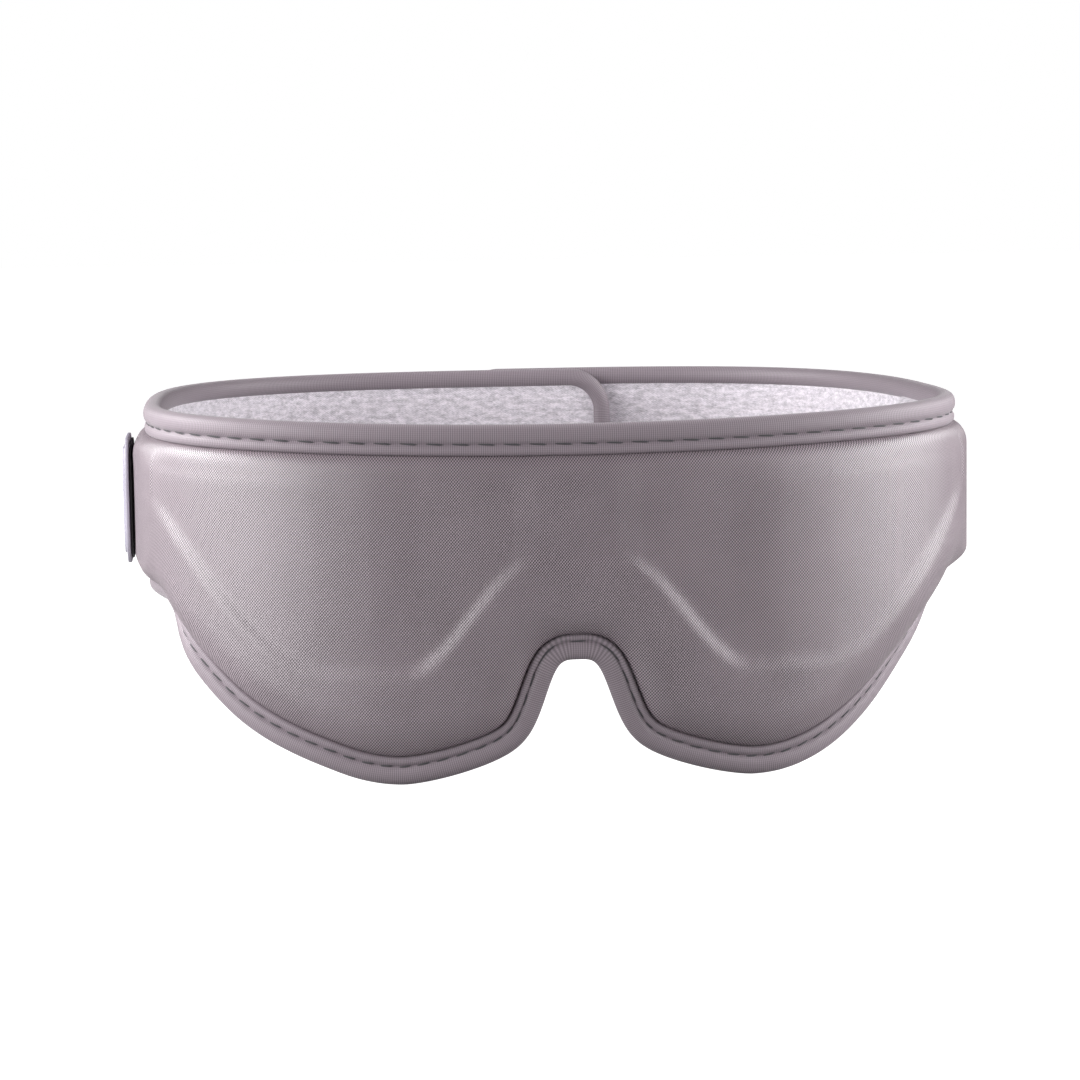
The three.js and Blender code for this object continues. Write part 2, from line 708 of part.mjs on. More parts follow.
// ---- battery module ----
const power = new THREE.Group();
power.applyMatrix4(wallFrame(BATTERY_AT, MODULE_HEIGHT));
mask.add(power);
add("battery_tray", openTray(), blackPlastic, power);
add("battery_cell", plate(29, 23, 2, -2.8, 1), foil, power);
const batteryLid = plate(TRAY.width, TRAY.height, TRAY.radius, TRAY.rim + 0.2, TRAY.rim + 0.9);
add("battery_lid", batteryLid, blackPlastic, power);

// ---- straps ----
// side is +1 for the strap that ends outside the lap and -1 for the one that ends inside it.
function lapShift(side, s) {
  return side * (LAP_OFFSET / 2) * smooth((Math.abs(s) - LAP_START) / (LAP_FULL - LAP_START));
}

const tipOf = (side) => HALF_RING + (side > 0 ? OUTER_PAST_BACK : INNER_PAST_BACK);

function strapStations(side, from, to, steps) {
  const end = tipOf(side);
  return Array.from({ length: steps + 1 }, (_, i) => {
    const away = from + ((to - from) * i) / steps;
    return side * Math.min(away, end);
  });
}

// Even steps to the rounded end, then even angles round it.
function tailStations(side, from, margin) {
  const straight = tipOf(side) - TIP_RADIUS;
  const steps = Array.from({ length: 14 }, (_, i) => from + ((straight - from) * i) / 14);
  const round = Array.from(
    { length: 6 },
    (_, i) => straight + (TIP_RADIUS - margin) * Math.sin((i * Math.PI) / 10),
  );
  return [...steps, ...round].map((away) => side * away);
}

// A strap layer's flat grid, its edge a margin inside the outline all round the tip.
function strapGrid(side, stations, margin) {
  const bend = TIP_RADIUS - margin;
  return stations.map((s) => {
    const past = clamp01((Math.abs(s) - tipOf(side) + TIP_RADIUS) / bend);
    const drop = TIP_RADIUS - bend * Math.sqrt(1 - past ** 2);
    const low = bottomHeight(s) + drop;
    const high = topHeight(s) - drop;
    const near = PUFF_START - margin;
    const rows = [0, near, near + 2, (high - low) / 2, high - low - near - 2, high - low - near, high - low];
    return rows.map((rise) => [s, low + rise]);
  });
}

function strapLayer(side, grid, outside, inside) {
  const ordered = side > 0 ? grid : [...grid].reverse();
  const place = (offset) => (s, z) => offset(s, z) + lapShift(side, s);
  return layer(ordered, place(outside), place(inside));
}

function strapSwell(side, s, z) {
  const fromEdge = Math.min(z - bottomHeight(s), topHeight(s) - z);
  const fromTip = tipOf(side) - Math.abs(s);
  return STRAP_PUFF * clamp01((fromEdge - PUFF_START) / 2) * clamp01((fromTip - 8.8) / 3);
}

function addStrapLayers(name, side, stations) {
  const grid = strapGrid(side, stations, FLANGE_START);
  const swell = (s, z) => strapSwell(side, s, z);
  const band = strapLayer(side, grid, (s, z) => FLANGE_OUT + swell(s, z), () => FLANGE_IN);
  const lining = strapLayer(side, grid, () => -FLANGE_IN, (s, z) => -FLANGE_OUT - swell(s, z) * 0.6);
  return [
    [`${name}_band`, band, mauveTwill],
    [`${name}_lining`, lining, heather],
  ];
}

// The hinge lines stand at the outer face, where the fabric folds.
const hingePoint = (side, away) => wrap(side * away, 0, BIND_HALF + 0.3 + lapShift(side, away));

function addBody(hinge, items) {
  const body = new THREE.Group();
  body.position.copy(hinge);
  mask.add(body);
  for (const [name, geometry, material] of items) {
    add(name, geometry.translate(-hinge.x, -hinge.y, -hinge.z), material, body);
  }
}

function tailPath(side, from) {
  const tip = tipOf(side);
  const straight = tip - TIP_RADIUS;
  const steps = 14;
  const run = Array.from({ length: steps }, (_, i) => from + ((straight - from) * i) / steps);
  const quarter = Array.from({ length: 7 }, (_, i) => (i * Math.PI) / 12);
  const top = run.map((away) => ({ s: side * away, z: TOP_HEIGHT, normal: [0, -1] }));
  const turnTop = quarter.map((a) => ({
    s: side * (straight + TIP_RADIUS * Math.sin(a)),
    z: TOP_HEIGHT - TIP_RADIUS * (1 - Math.cos(a)),
    normal: [-side * Math.sin(a), -Math.cos(a)],
  }));
  const turnBottom = [...quarter].reverse().map((a) => ({
    s: side * (straight + TIP_RADIUS * Math.sin(a)),
    z: STRAP_FOOT + TIP_RADIUS * (1 - Math.cos(a)),
    normal: [-side * Math.sin(a), Math.cos(a)],
  }));
  const bottom = [...run].reverse().map((away) => ({ s: side * away, z: STRAP_FOOT, normal: [0, 1] }));
  return [...top, ...turnTop, ...turnBottom, ...bottom];
}

function edgePath(side, from, to, height, up) {
  return strapStations(side, from, to, 12).map((s) => ({ s, z: height(s), normal: [0, up] }));
}

// The fastening patch of each strap, between the two where they lap: hooks on the outer, loops on the inner.
const PATCH_MARGIN = 9.5;
const PATCHES = {
  outer_strap: { name: "hook_patch", reach: [292, 322], low: 0.3, high: 1 },
  inner_strap: { name: "loop_patch", reach: [250, 336], low: -0.7, high: -0.1 },
};

function patch(side, { reach, low, high }) {
  const stations = strapStations(side, ...reach, 8);
  const grid = stations.map((s) => [
    [s, STRAP_FOOT + PATCH_MARGIN],
    [s, TOP_HEIGHT - PATCH_MARGIN],
  ]);
  const ordered = side > 0 ? grid : grid.reverse();
  const rise = (s) => lapShift(side, s) - lapShift(side, HALF_RING);
  return layer(ordered, (s) => high + rise(s), (s) => low + rise(s));
}

function addStrap(name, side) {
  const shift = (s) => lapShift(side, s);
  const binding = (path) => sweep(path, tapeSection, shift);
  const root = hingePoint(side, HINGE_AT);
  const knee = hingePoint(side, KNEE_AT);
  const start = HINGE_AT + HINGE_GAP;
  const stop = KNEE_AT - HINGE_GAP;
  const rear = KNEE_AT + HINGE_GAP;
  const fastening = PATCHES[name];
  addBody(root, [
    ...addStrapLayers(`${name}_front`, side, strapStations(side, start, stop, 12)),
    [`${name}_front_top_binding`, binding(edgePath(side, start, stop, topHeight, -1)), mauveTape],
    [`${name}_front_bottom_binding`, binding(edgePath(side, start, stop, bottomHeight, 1)), mauveTape],
  ]);
  addBody(knee, [
    ...addStrapLayers(`${name}_tail`, side, tailStations(side, rear, FLANGE_START)),
    [`${name}_tail_binding`, binding(tailPath(side, rear)), mauveTape],
    [fastening.name, patch(side, fastening), hookNylon],
  ]);
}

addStrap("outer_strap", 1);
addStrap("inner_strap", -1);

export default mask;
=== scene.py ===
# %% [markdown]
# # A wrap-around eye massager mask
#
# The mask is a padded front that goes over the eyes, with a notch for the nose, and two straps that lap at
# the back of the head. Its looks are sewn cloth over a ready frame: satin twill outside, heather jersey
# inside, one folded tape stitched round every edge, and a small control pod on one temple.
#
# Each cell adds one piece. Shapes are worked out in millimetres in the cloth's own flat pattern, where s
# runs along the head ring from the nose and z runs up, and are then wrapped round the ring.

import json
import math

import bpy
import numpy as np
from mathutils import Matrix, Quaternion, Vector


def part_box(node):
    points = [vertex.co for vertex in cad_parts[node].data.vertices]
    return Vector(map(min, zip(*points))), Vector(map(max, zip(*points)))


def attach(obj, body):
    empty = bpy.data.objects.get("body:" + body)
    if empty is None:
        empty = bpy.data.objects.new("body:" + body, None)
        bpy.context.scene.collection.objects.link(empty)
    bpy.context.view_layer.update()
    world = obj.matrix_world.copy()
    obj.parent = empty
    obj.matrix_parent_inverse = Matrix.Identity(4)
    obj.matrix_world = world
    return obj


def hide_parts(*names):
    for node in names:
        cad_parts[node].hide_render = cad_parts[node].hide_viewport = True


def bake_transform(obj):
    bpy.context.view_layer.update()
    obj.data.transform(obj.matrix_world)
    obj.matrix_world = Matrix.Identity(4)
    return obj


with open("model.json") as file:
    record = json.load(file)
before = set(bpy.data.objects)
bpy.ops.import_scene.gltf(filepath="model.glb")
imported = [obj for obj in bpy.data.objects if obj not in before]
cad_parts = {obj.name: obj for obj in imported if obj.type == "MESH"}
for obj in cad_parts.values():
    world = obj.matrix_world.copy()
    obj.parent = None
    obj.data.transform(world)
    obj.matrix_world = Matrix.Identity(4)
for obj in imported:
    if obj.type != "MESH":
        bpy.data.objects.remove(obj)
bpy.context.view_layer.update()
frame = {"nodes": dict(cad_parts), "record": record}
MM = 0.001

# %% [markdown]
# ## Camera
#
# A product view of a mask is taken with a long lens, so that the far side of the ring hardly shrinks. The
# camera stands 0.8 m away, a little above the mask and a little towards the pod, and leans by under a
# degree. It aims at the middle of the ring's height, so it is placed on a sphere round that point.

# %% Camera
AZIMUTH = math.radians(-5.39)
ELEVATION = math.radians(6.19)
LEAN = math.radians(-0.83)
DISTANCE = 0.8
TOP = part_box("outer_strap_front_top_binding")[1][2] / MM
aim = Vector((-0.00215, 0, (TOP - 37.2) * MM))
offset = Vector(
    (
        math.sin(AZIMUTH) * math.cos(ELEVATION),
        -math.cos(AZIMUTH) * math.cos(ELEVATION),
        math.sin(ELEVATION),
    )
)
camera = bpy.data.objects.new("camera", bpy.data.cameras.new("camera"))
camera.data.lens = 105.7
camera.data.sensor_width = 36
camera.location = aim + offset * DISTANCE
turn = (-offset).to_track_quat("-Z", "Y") @ Quaternion((0, 0, 1), LEAN)
camera.rotation_mode = "QUATERNION"
camera.rotation_quaternion = turn
bpy.context.scene.collection.objects.link(camera)
bpy.context.scene.camera = camera
print("camera at", [round(v, 4) for v in camera.location])

# %% [markdown]
# ## The ring and the flat pattern
#
# Cloth is drawn flat and then bent. Everything here is placed by three numbers: s, the distance along the
# ring from the nose, z, the height, and d, how far the point stands out from the middle of the cloth. One
# function turns them into a place in the room, and it works on whole arrays at once.

# %% The ring
HALF_WIDTH = 98.0
FRONT_DEPTH = 67.0
BACK_DEPTH = 112.0
SQUARENESS = 2.95

angles = np.linspace(0, 1.2 * np.pi, 6001)
depths = np.where(np.cos(angles) > 0, FRONT_DEPTH, BACK_DEPTH)
across = np.abs(np.sin(angles) / HALF_WIDTH) ** SQUARENESS
radii = (across + np.abs(np.cos(angles) / depths) ** SQUARENESS) ** (-1 / SQUARENESS)
ring_x = radii * np.sin(angles)
ring_y = -radii * np.cos(angles)
ring_s = np.concatenate([[0], np.cumsum(np.hypot(np.diff(ring_x), np.diff(ring_y)))])
ring_tx = np.gradient(ring_x, ring_s)
ring_ty = np.gradient(ring_y, ring_s)
HALF_RING = float(np.interp(np.pi, angles, ring_s))


def wrap(s, z, d):
    """The ring's point at distance s, plus d times its outward normal, less the tuck, at height z."""
    s, z, d = np.broadcast_arrays(s, z, d)
    side = np.where(s < 0, -1.0, 1.0)
    away = np.abs(s)
    d = d - tuck(s, z)
    x = np.interp(away, ring_s, ring_x) + np.interp(away, ring_s, ring_ty) * d
    y = np.interp(away, ring_s, ring_y) - np.interp(away, ring_s, ring_tx) * d
    return np.stack([side * x, y, z], -1) * MM


print("ring is", round(2 * HALF_RING, 1), "mm round")

# %% [markdown]
# ## Outlines
#
# The front is cut with two cheek lobes and a nose notch; towards the temples the lower edge climbs to the
# straps. Smooth steps and one bell curve give the whole outline, so a lobe can be moved or widened with one
# number. The crease is the lower edge of the stiff frame inside, which shows through the satin.

# %% Outlines
BROW_DIP = 3.1
STRAP_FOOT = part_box("outer_strap_front_bottom_binding")[0][2] / MM
LOBE_AT = 41.0
LOBE_RUN = 85.0
LOBE_ROUND = 0.0489
NOTCH_HEIGHT = 19.24
NOTCH_HALF_WIDTH = 8.28
NOTCH_POWER = 4.27
NOTCH_FLAT = 8.0
TUCK_LEFT = 4.5
TUCK_RIGHT = 6.5
LEFT_SAG = 2.6


def smooth(x):
    """Nought below 0, one above 1, and 3x^2 - 2x^3 between."""
    x = np.clip(x, 0, 1)
    return x * x * (3 - 2 * x)


def hump(x):
    """The square of the sine of a quarter turn: a softer start and end than a cubic step."""
    return np.sin(np.pi / 2 * np.clip(x, 0, 1)) ** 2


def pillow(x):
    """A quarter circle: it leaves the seam at a right angle and flattens out at one."""
    return np.sqrt(1 - (1 - np.clip(x, 0, 1)) ** 2)


def top_height(s):
    """The top edge, lowest at the nose by BROW_DIP."""
    return TOP - BROW_DIP * (1 - hump(np.abs(s) / 140))


def bottom_height(s):
    """The bottom edge: a bell for the notch, the inner side of the lobe as a power curve, then the climb."""
    away = np.abs(s)
    notch = NOTCH_HEIGHT / (1 + (away / NOTCH_HALF_WIDTH) ** NOTCH_POWER)
    lobe = LOBE_ROUND * np.maximum(0, LOBE_AT - (away**4 + NOTCH_FLAT**4) ** 0.25) ** 1.5
    sag = np.where(s < 0, LEFT_SAG * smooth(1 - np.abs(away - 82) / 26), 0)
    return notch + lobe - sag + STRAP_FOOT * hump((away - LOBE_AT) / LOBE_RUN)


def squeeze(s):
    """How much narrower the lower tape's inner roll is than the upper one's, most in a bell at the notch."""
    return 0.4 + 0.7 * np.exp(-((s / 14) ** 2))


def tuck(s, z):
    """How far the lower edge leans in to the cheeks: nought at the nose, at the straps and higher up."""
    away = np.abs(s)
    left = TUCK_LEFT * smooth((away - 92) / 22) * (1 - smooth((away - 116) / 34))
    right = TUCK_RIGHT * smooth((away - 45) / 45) * (1 - smooth((away - 102) / 42))
    depth = np.where(s < 0, left, right)
    return depth * (1 - smooth((z - bottom_height(s)) / (26 - 15 * temple(s))))


def crease_height(s):
    """The crease: level over the nose, down to the cheek, then up to the temple."""
    away = np.abs(s)
    fall = 25 * (1 - smooth((away - 10.5) / 29))
    return 27 + fall + 40 * smooth((away - 57) / 55)


def distance_to(s, z, line_s, line_z):
    """The shortest distance from each pattern point to a line of close points."""
    flat_s = s.ravel().astype(np.float32)
    flat_z = z.ravel().astype(np.float32)
    gap_s = flat_s[:, None] - line_s[None].astype(np.float32)
    gap_z = flat_z[:, None] - line_z[None].astype(np.float32)
    return np.sqrt((gap_s**2 + gap_z**2).min(1)).reshape(s.shape).astype(float)


edge_s = np.arange(-190, 190.2, 0.4)
edge_z = bottom_height(edge_s)
print("lobe foot", round(float(edge_z.min()), 2), "notch top", round(float(bottom_height(0.0)), 2))

# %% [markdown]
# ## Meshes from arrays
#
# Blender takes a mesh as a list of points and faces. Two builders are enough: a slab, which is two grids
# joined at their rims, for cloth with a thickness, and a sweep, which carries a closed section along a
# path, for tape and thread. Each vertex also gets its place in the flat pattern, in millimetres, as UV, so
# that a weave follows the cloth wherever the cloth is bent.

# %% Mesh builders
def mesh_object(name, points, faces, flat):
    """A smooth-shaded object from points in metres, quads, and each point's flat place for the UV map."""
    mesh = bpy.data.meshes.new(name)
    mesh.from_pydata(points.tolist(), [], faces if isinstance(faces, list) else faces.tolist())
    layer = mesh.uv_layers.new(name="flat")
    corners = np.empty(len(mesh.loops), np.int32)
    mesh.loops.foreach_get("vertex_index", corners)
    layer.data.foreach_set("uv", flat[corners].astype(np.float32).ravel())
    mesh.shade_smooth()
    mesh.set_sharp_from_angle(angle=math.radians(55))
    made = bpy.data.objects.new(name, mesh)
    bpy.context.scene.collection.objects.link(made)
    return made


def grid_quads(columns, rows, start=0):
    """The quads of a grid whose point (i, j) has the number start + i * rows + j."""
    i, j = np.meshgrid(np.arange(columns - 1), np.arange(rows - 1), indexing="ij")
    a = (start + i * rows + j).ravel()
    return np.stack([a, a + rows, a + rows + 1, a + 1], 1)


def slab(name, outer, inner, flat):
    """Two grids of the same size, joined round their rims into one closed skin."""
    columns, rows = outer.shape[:2]
    count = columns * rows
    front = grid_quads(columns, rows)
    back = grid_quads(columns, rows, count)[:, ::-1]
    i = np.arange(columns - 1) * rows
    j = np.arange(rows - 1)
    low = np.stack([i, i + count, i + rows + count, i + rows], 1)
    high = np.stack([i + rows, i + rows + count, i + count, i], 1) + rows - 1
    near = np.stack([j + 1, j + 1 + count, j + count, j], 1)
    far = np.stack([j, j + count, j + 1 + count, j + 1], 1) + (columns - 1) * rows
    points = np.concatenate([outer.reshape(-1, 3), inner.reshape(-1, 3)])
    uv = np.concatenate([flat.reshape(-1, 2)] * 2)
    return mesh_object(name, points, np.concatenate([front, back, low, high, near, far]), uv)


def tube(name, rings, flat):
    """A row of closed rings of points, (steps, ring, 3), joined into a tube, with flat ends."""
    steps, ring = rings.shape[:2]
    i, j = np.meshgrid(np.arange(steps - 1), np.arange(ring), indexing="ij")
    after = (j + 1) % ring
    quads = np.stack([i * ring + j, i * ring + after, (i + 1) * ring + after, (i + 1) * ring + j], -1)
    quads = quads.reshape(-1, 4)
    points = rings.reshape(-1, 3)
    corners = points[quads]
    lean = np.cross(corners[:, 1] - corners[:, 0], corners[:, 3] - corners[:, 0])
    outward = corners.mean(1) - rings.mean(1)[quads[:, 0] // ring]
    turned = np.sum(lean * outward) < 0
    faces = (quads[:, ::-1] if turned else quads).tolist()
    first = list(range(ring))
    last = list(range(ring * (steps - 1), ring * steps))
    faces += [first, last[::-1]] if turned else [first[::-1], last]
    return mesh_object(name, points, faces, flat.reshape(-1, 2))


def outward_volume(thing):
    """The signed volume of a closed mesh: positive when its faces point outwards."""
    mesh = thing.data
    mesh.calc_loop_triangles()
    corners = np.empty(len(mesh.loop_triangles) * 3, np.int32)
    mesh.loop_triangles.foreach_get("vertices", corners)
    places = np.empty(len(mesh.vertices) * 3)
    mesh.vertices.foreach_get("co", places)
    a, b, c = places.reshape(-1, 3)[corners.reshape(-1, 3)].transpose(1, 0, 2)
    return float(np.sum(a * np.cross(b, c)) / 6)


def check_out(thing):
    """Turns a closed mesh the right way round, and prints its size."""
    volume = outward_volume(thing)
    if volume < 0:
        thing.data.flip_normals()
    print(thing.name, len(thing.data.vertices), "points", round(abs(volume) * 1e6, 2), "cm3")
    return thing


# %% [markdown]
# ## Shader groups
#
# Cloth and plastic each repeat one effect over many finishes, so each effect is a node group that is built
# once. The weave crosses two sets of threads at forty-five degrees, as a twill does, and the fleck group
# stretches noise along the rows of a knit. Groups give out only masks and heights; the shader and its plain
# numbers stay in each material.

# %% Node helpers
def put(tree, value, socket):
    """Links a socket, or sets a plain value."""
    if isinstance(value, bpy.types.NodeSocket):
        tree.links.new(value, socket)
    else:
        socket.default_value = value


def calc(tree, operation, *values):
    node = tree.nodes.new("ShaderNodeMath")
    node.operation = operation
    for value, socket in zip(values, node.inputs):
        put(tree, value, socket)
    return node.outputs[0]


def noise(tree, vector, scale, detail=2.0):
    node = tree.nodes.new("ShaderNodeTexNoise")
    node.inputs["Scale"].default_value = scale
    node.inputs["Detail"].default_value = detail
    put(tree, vector, node.inputs["Vector"])
    return node.outputs["Fac"]


def ramp(tree, value, low, high, to_low=0.0, to_high=1.0):
    node = tree.nodes.new("ShaderNodeMapRange")
    for name, given in (("Value", value), ("From Min", low), ("From Max", high)):
        put(tree, given, node.inputs[name])
    node.inputs["To Min"].default_value = to_low
    node.inputs["To Max"].default_value = to_high
    return node.outputs["Result"]


def blend_colours(tree, factor, first, second):
    node = tree.nodes.new("ShaderNodeMix")
    node.data_type = "RGBA"
    put(tree, factor, node.inputs["Factor"])
    put(tree, first, node.inputs["A"])
    put(tree, second, node.inputs["B"])
    return node.outputs["Result"]


def shader_group(name, inputs, outputs):
    """An empty group with named sockets: (name, type) pairs in and out."""
    tree = bpy.data.node_groups.new(name, "ShaderNodeTree")
    for label, kind in inputs:
        tree.interface.new_socket(label, in_out="INPUT", socket_type="NodeSocket" + kind)
    for label, kind in outputs:
        tree.interface.new_socket(label, in_out="OUTPUT", socket_type="NodeSocket" + kind)
    return tree, tree.nodes.new("NodeGroupInput"), tree.nodes.new("NodeGroupOutput")


# %% The weave, fleck and moulding groups
def weave_group():
    """Height: two slanting waves added up; their periods across and up the cloth may differ."""
    tree, given, out = shader_group(
        "crossed threads",
        [("Place", "Vector"), ("Across", "Float"), ("Up", "Float"), ("Slub", "Float")],
        [("Height", "Float"), ("Tone", "Float")],
    )
    split = tree.nodes.new("ShaderNodeSeparateXYZ")
    tree.links.new(given.outputs["Place"], split.inputs[0])
    drift = calc(tree, "MULTIPLY", noise(tree, given.outputs["Place"], 0.35), given.outputs["Slub"])
    across = calc(tree, "ADD", calc(tree, "DIVIDE", split.outputs[0], given.outputs["Across"]), drift)
    up = calc(tree, "DIVIDE", split.outputs[1], given.outputs["Up"])
    waves = []
    for sign in ("ADD", "SUBTRACT"):
        turns = calc(tree, sign, across, up)
        waves.append(calc(tree, "SINE", calc(tree, "MULTIPLY", turns, 2 * math.pi)))
    both = calc(tree, "MULTIPLY_ADD", waves[0], 0.8, waves[1])
    height = calc(tree, "MULTIPLY_ADD", both, 0.25, 0.5)
    tree.links.new(height, out.inputs["Height"])
    patchy = noise(tree, given.outputs["Place"], 0.06, 3.0)
    tone = calc(tree, "MULTIPLY_ADD", calc(tree, "SUBTRACT", patchy, 0.5), 0.15, height)
    tree.links.new(tone, out.inputs["Tone"])
    return tree


def rib_group():
    """Height: fine ridges across a tape, with a slow drift so that they are not quite even."""
    tree, given, out = shader_group(
        "tape ribs",
        [("Place", "Vector"), ("Across", "Float"), ("Up", "Float"), ("Slub", "Float")],
        [("Height", "Float"), ("Tone", "Float")],
    )
    split = tree.nodes.new("ShaderNodeSeparateXYZ")
    tree.links.new(given.outputs["Place"], split.inputs[0])
    drift = calc(tree, "MULTIPLY", noise(tree, given.outputs["Place"], 0.5), given.outputs["Slub"])
    ribs = calc(tree, "ADD", calc(tree, "DIVIDE", split.outputs[0], given.outputs["Across"]), drift)
    picks = calc(tree, "DIVIDE", split.outputs[1], given.outputs["Up"])
    waves = []
    for turns in (ribs, picks):
        waves.append(calc(tree, "SINE", calc(tree, "MULTIPLY", turns, 2 * math.pi)))
    both = calc(tree, "MULTIPLY_ADD", waves[1], 0.35, waves[0])
    height = calc(tree, "MULTIPLY_ADD", both, 0.35, 0.5)
    tree.links.new(height, out.inputs["Height"])
    tree.links.new(height, out.inputs["Tone"])
    return tree


def fleck_group():
    """Mask: two layers of noise, stretched along the knit's rows; Height: the loops of the knit."""
    tree, given, out = shader_group(
        "melange flecks",
        [("Place", "Vector"), ("Stretch", "Float")],
        [("Mask", "Float"), ("Height", "Float")],
    )
    split = tree.nodes.new("ShaderNodeSeparateXYZ")
    tree.links.new(given.outputs["Place"], split.inputs[0])
    joined = tree.nodes.new("ShaderNodeCombineXYZ")
    tree.links.new(calc(tree, "DIVIDE", split.outputs[0], given.outputs["Stretch"]), joined.inputs[0])
    tree.links.new(split.outputs[1], joined.inputs[1])
    coarse = noise(tree, joined.outputs[0], 0.9, 2.5)
    fine = noise(tree, joined.outputs[0], 3.2, 3.0)
    mask = calc(tree, "ADD", calc(tree, "MULTIPLY", coarse, 0.55), calc(tree, "MULTIPLY", fine, 0.45))
    tree.links.new(mask, out.inputs["Mask"])
    loops = calc(tree, "SINE", calc(tree, "MULTIPLY", split.outputs[0], 2 * math.pi / 0.9))
    rows = calc(tree, "SINE", calc(tree, "MULTIPLY", split.outputs[1], 2 * math.pi / 0.6))
    knit = calc(tree, "MULTIPLY", loops, rows)
    tree.links.new(calc(tree, "MULTIPLY_ADD", knit, 0.3, fine), out.inputs["Height"])
    return tree


def moulding_group():
    """Grain: fine noise for a moulded or stamped skin; Patches: broad noise for handling marks."""
    tree, given, out = shader_group(
        "moulded skin",
        [("Place", "Vector"), ("Scale", "Float")],
        [("Grain", "Float"), ("Patches", "Float")],
    )
    fine = tree.nodes.new("ShaderNodeTexNoise")
    tree.links.new(given.outputs["Place"], fine.inputs["Vector"])
    tree.links.new(given.outputs["Scale"], fine.inputs["Scale"])
    fine.inputs["Detail"].default_value = 3
    tree.links.new(fine.outputs["Fac"], out.inputs["Grain"])
    tree.links.new(noise(tree, given.outputs["Place"], 90, 2.0), out.inputs["Patches"])
    return tree


WEAVE = weave_group()
RIBS = rib_group()
FLECKS = fleck_group()
MOULDED = moulding_group()
print("groups", WEAVE.name, RIBS.name, FLECKS.name, MOULDED.name)


# %% Material builders
def linear(red, green, blue):
    """A screen colour, 0 to 255, as the linear colour that shaders take."""
    c = np.array([red, green, blue]) / 255
    return (*np.where(c < 0.04045, c / 12.92, ((c + 0.055) / 1.055) ** 2.4), 1.0)


def start_material(name, **sockets):
    """A new material with a Principled shader, whose plain values are given by socket name."""
    material = bpy.data.materials.new(name)
    material.use_nodes = True
    tree = material.node_tree
    shader = tree.nodes["Principled BSDF"]
    for label, value in sockets.items():
        shader.inputs[label.replace("_", " ")].default_value = value
    return material, tree, shader


def add_group(tree, group, place, **values):
    node = tree.nodes.new("ShaderNodeGroup")
    node.node_tree = group
    tree.links.new(place, node.inputs["Place"])
    for label, value in values.items():
        node.inputs[label].default_value = value
    return node


def add_bump(tree, shader, height, strength, distance):
    node = tree.nodes.new("ShaderNodeBump")
    node.inputs["Strength"].default_value = strength
    node.inputs["Distance"].default_value = distance
    tree.links.new(height, node.inputs["Height"])
    tree.links.new(node.outputs["Normal"], shader.inputs["Normal"])


def woven(name, group, dark, light, across, up, bump, slub=0.1, **sockets):
    """A woven cloth: its colour swings between two shades with the weave, and its threads stand up."""
    material, tree, shader = start_material(name, **sockets)
    uv = tree.nodes.new("ShaderNodeUVMap")
    uv.uv_map = "flat"
    weave = add_group(tree, group, uv.outputs[0], Across=across, Up=up, Slub=slub)
    tone = ramp(tree, weave.outputs["Tone"], 0.2, 0.8)
    tree.links.new(blend_colours(tree, tone, linear(*dark), linear(*light)), shader.inputs["Base Color"])
    add_bump(tree, shader, weave.outputs["Height"], bump, 0.0001)
    return material


def heather(name, dark, light, stretch=2.4):
    """A brushed jersey: pale yarn with darker flecks along its rows."""
    material, tree, shader = start_material(
        name, Roughness=0.95, Sheen_Weight=0.35, Sheen_Roughness=0.6, Specular_IOR_Level=0.15
    )
    uv = tree.nodes.new("ShaderNodeUVMap")
    uv.uv_map = "flat"
    flecks = add_group(tree, FLECKS, uv.outputs[0], Stretch=stretch)
    mask = ramp(tree, flecks.outputs["Mask"], 0.36, 0.62)
    tree.links.new(blend_colours(tree, mask, linear(*dark), linear(*light)), shader.inputs["Base Color"])
    add_bump(tree, shader, flecks.outputs["Height"], 0.5, 0.0003)
    return material


def moulded(name, colour, roughness, scale=2500.0, bump=0.06, shade=0.12, **sockets):
    """Plastic, metal or rubber: a fine grain in its skin, and patches that vary its shade and roughness."""
    material, tree, shader = start_material(name, **sockets)
    place = tree.nodes.new("ShaderNodeTexCoord").outputs["Object"]
    skin = add_group(tree, MOULDED, place, Scale=scale)
    tint = tuple(v * (1 - shade) for v in linear(*colour)[:3]) + (1.0,)
    shaded = blend_colours(tree, skin.outputs["Patches"], tint, linear(*colour))
    tree.links.new(shaded, shader.inputs["Base Color"])
    rough = ramp(tree, skin.outputs["Patches"], 0.3, 0.7, roughness * 0.88, roughness * 1.12)
    tree.links.new(rough, shader.inputs["Roughness"])
    add_bump(tree, shader, skin.outputs["Grain"], bump, 0.00008)
    return material


# %% [markdown]
# ## Finishes
#
# The satin twill and the tape are the same mauve grey; the tape is a shade darker and tighter, because it
# is pulled round the edge. The thread is a darker grey, so that each stitch reads.

# %% Finishes
sheen = {"Roughness": 0.42, "Specular_IOR_Level": 1.0, "Sheen_Weight": 0.0}
soft = {"Roughness": 0.58, "Specular_IOR_Level": 0.6, "Sheen_Weight": 0.15}
satin = woven("mauve satin twill", WEAVE, (10, 6, 9), (168, 153, 162), 0.662, 0.77, 0.62, **sheen)
tape = woven("mauve edge tape", RIBS, (112, 102, 109), (144, 132, 140), 0.5, 0.5, 0.2, **soft)
lining = heather("heather jersey", (176, 170, 178), (236, 229, 237))
thread = moulded("grey thread", (84, 83, 86), 0.75, 5200, 0.5, 0.35)
gloss = {"Coat_Weight": 0.5, "Coat_Roughness": 0.12}
pearl = moulded("pearl plastic", (206, 202, 215), 0.28, 1800, 0.03, 0.06, **gloss)
silver = moulded("silver plastic", (170, 165, 178), 0.38, 2600, 0.08, 0.1)
black = moulded("black plastic", (58, 56, 60), 0.55, 2600, 0.12, 0.2)
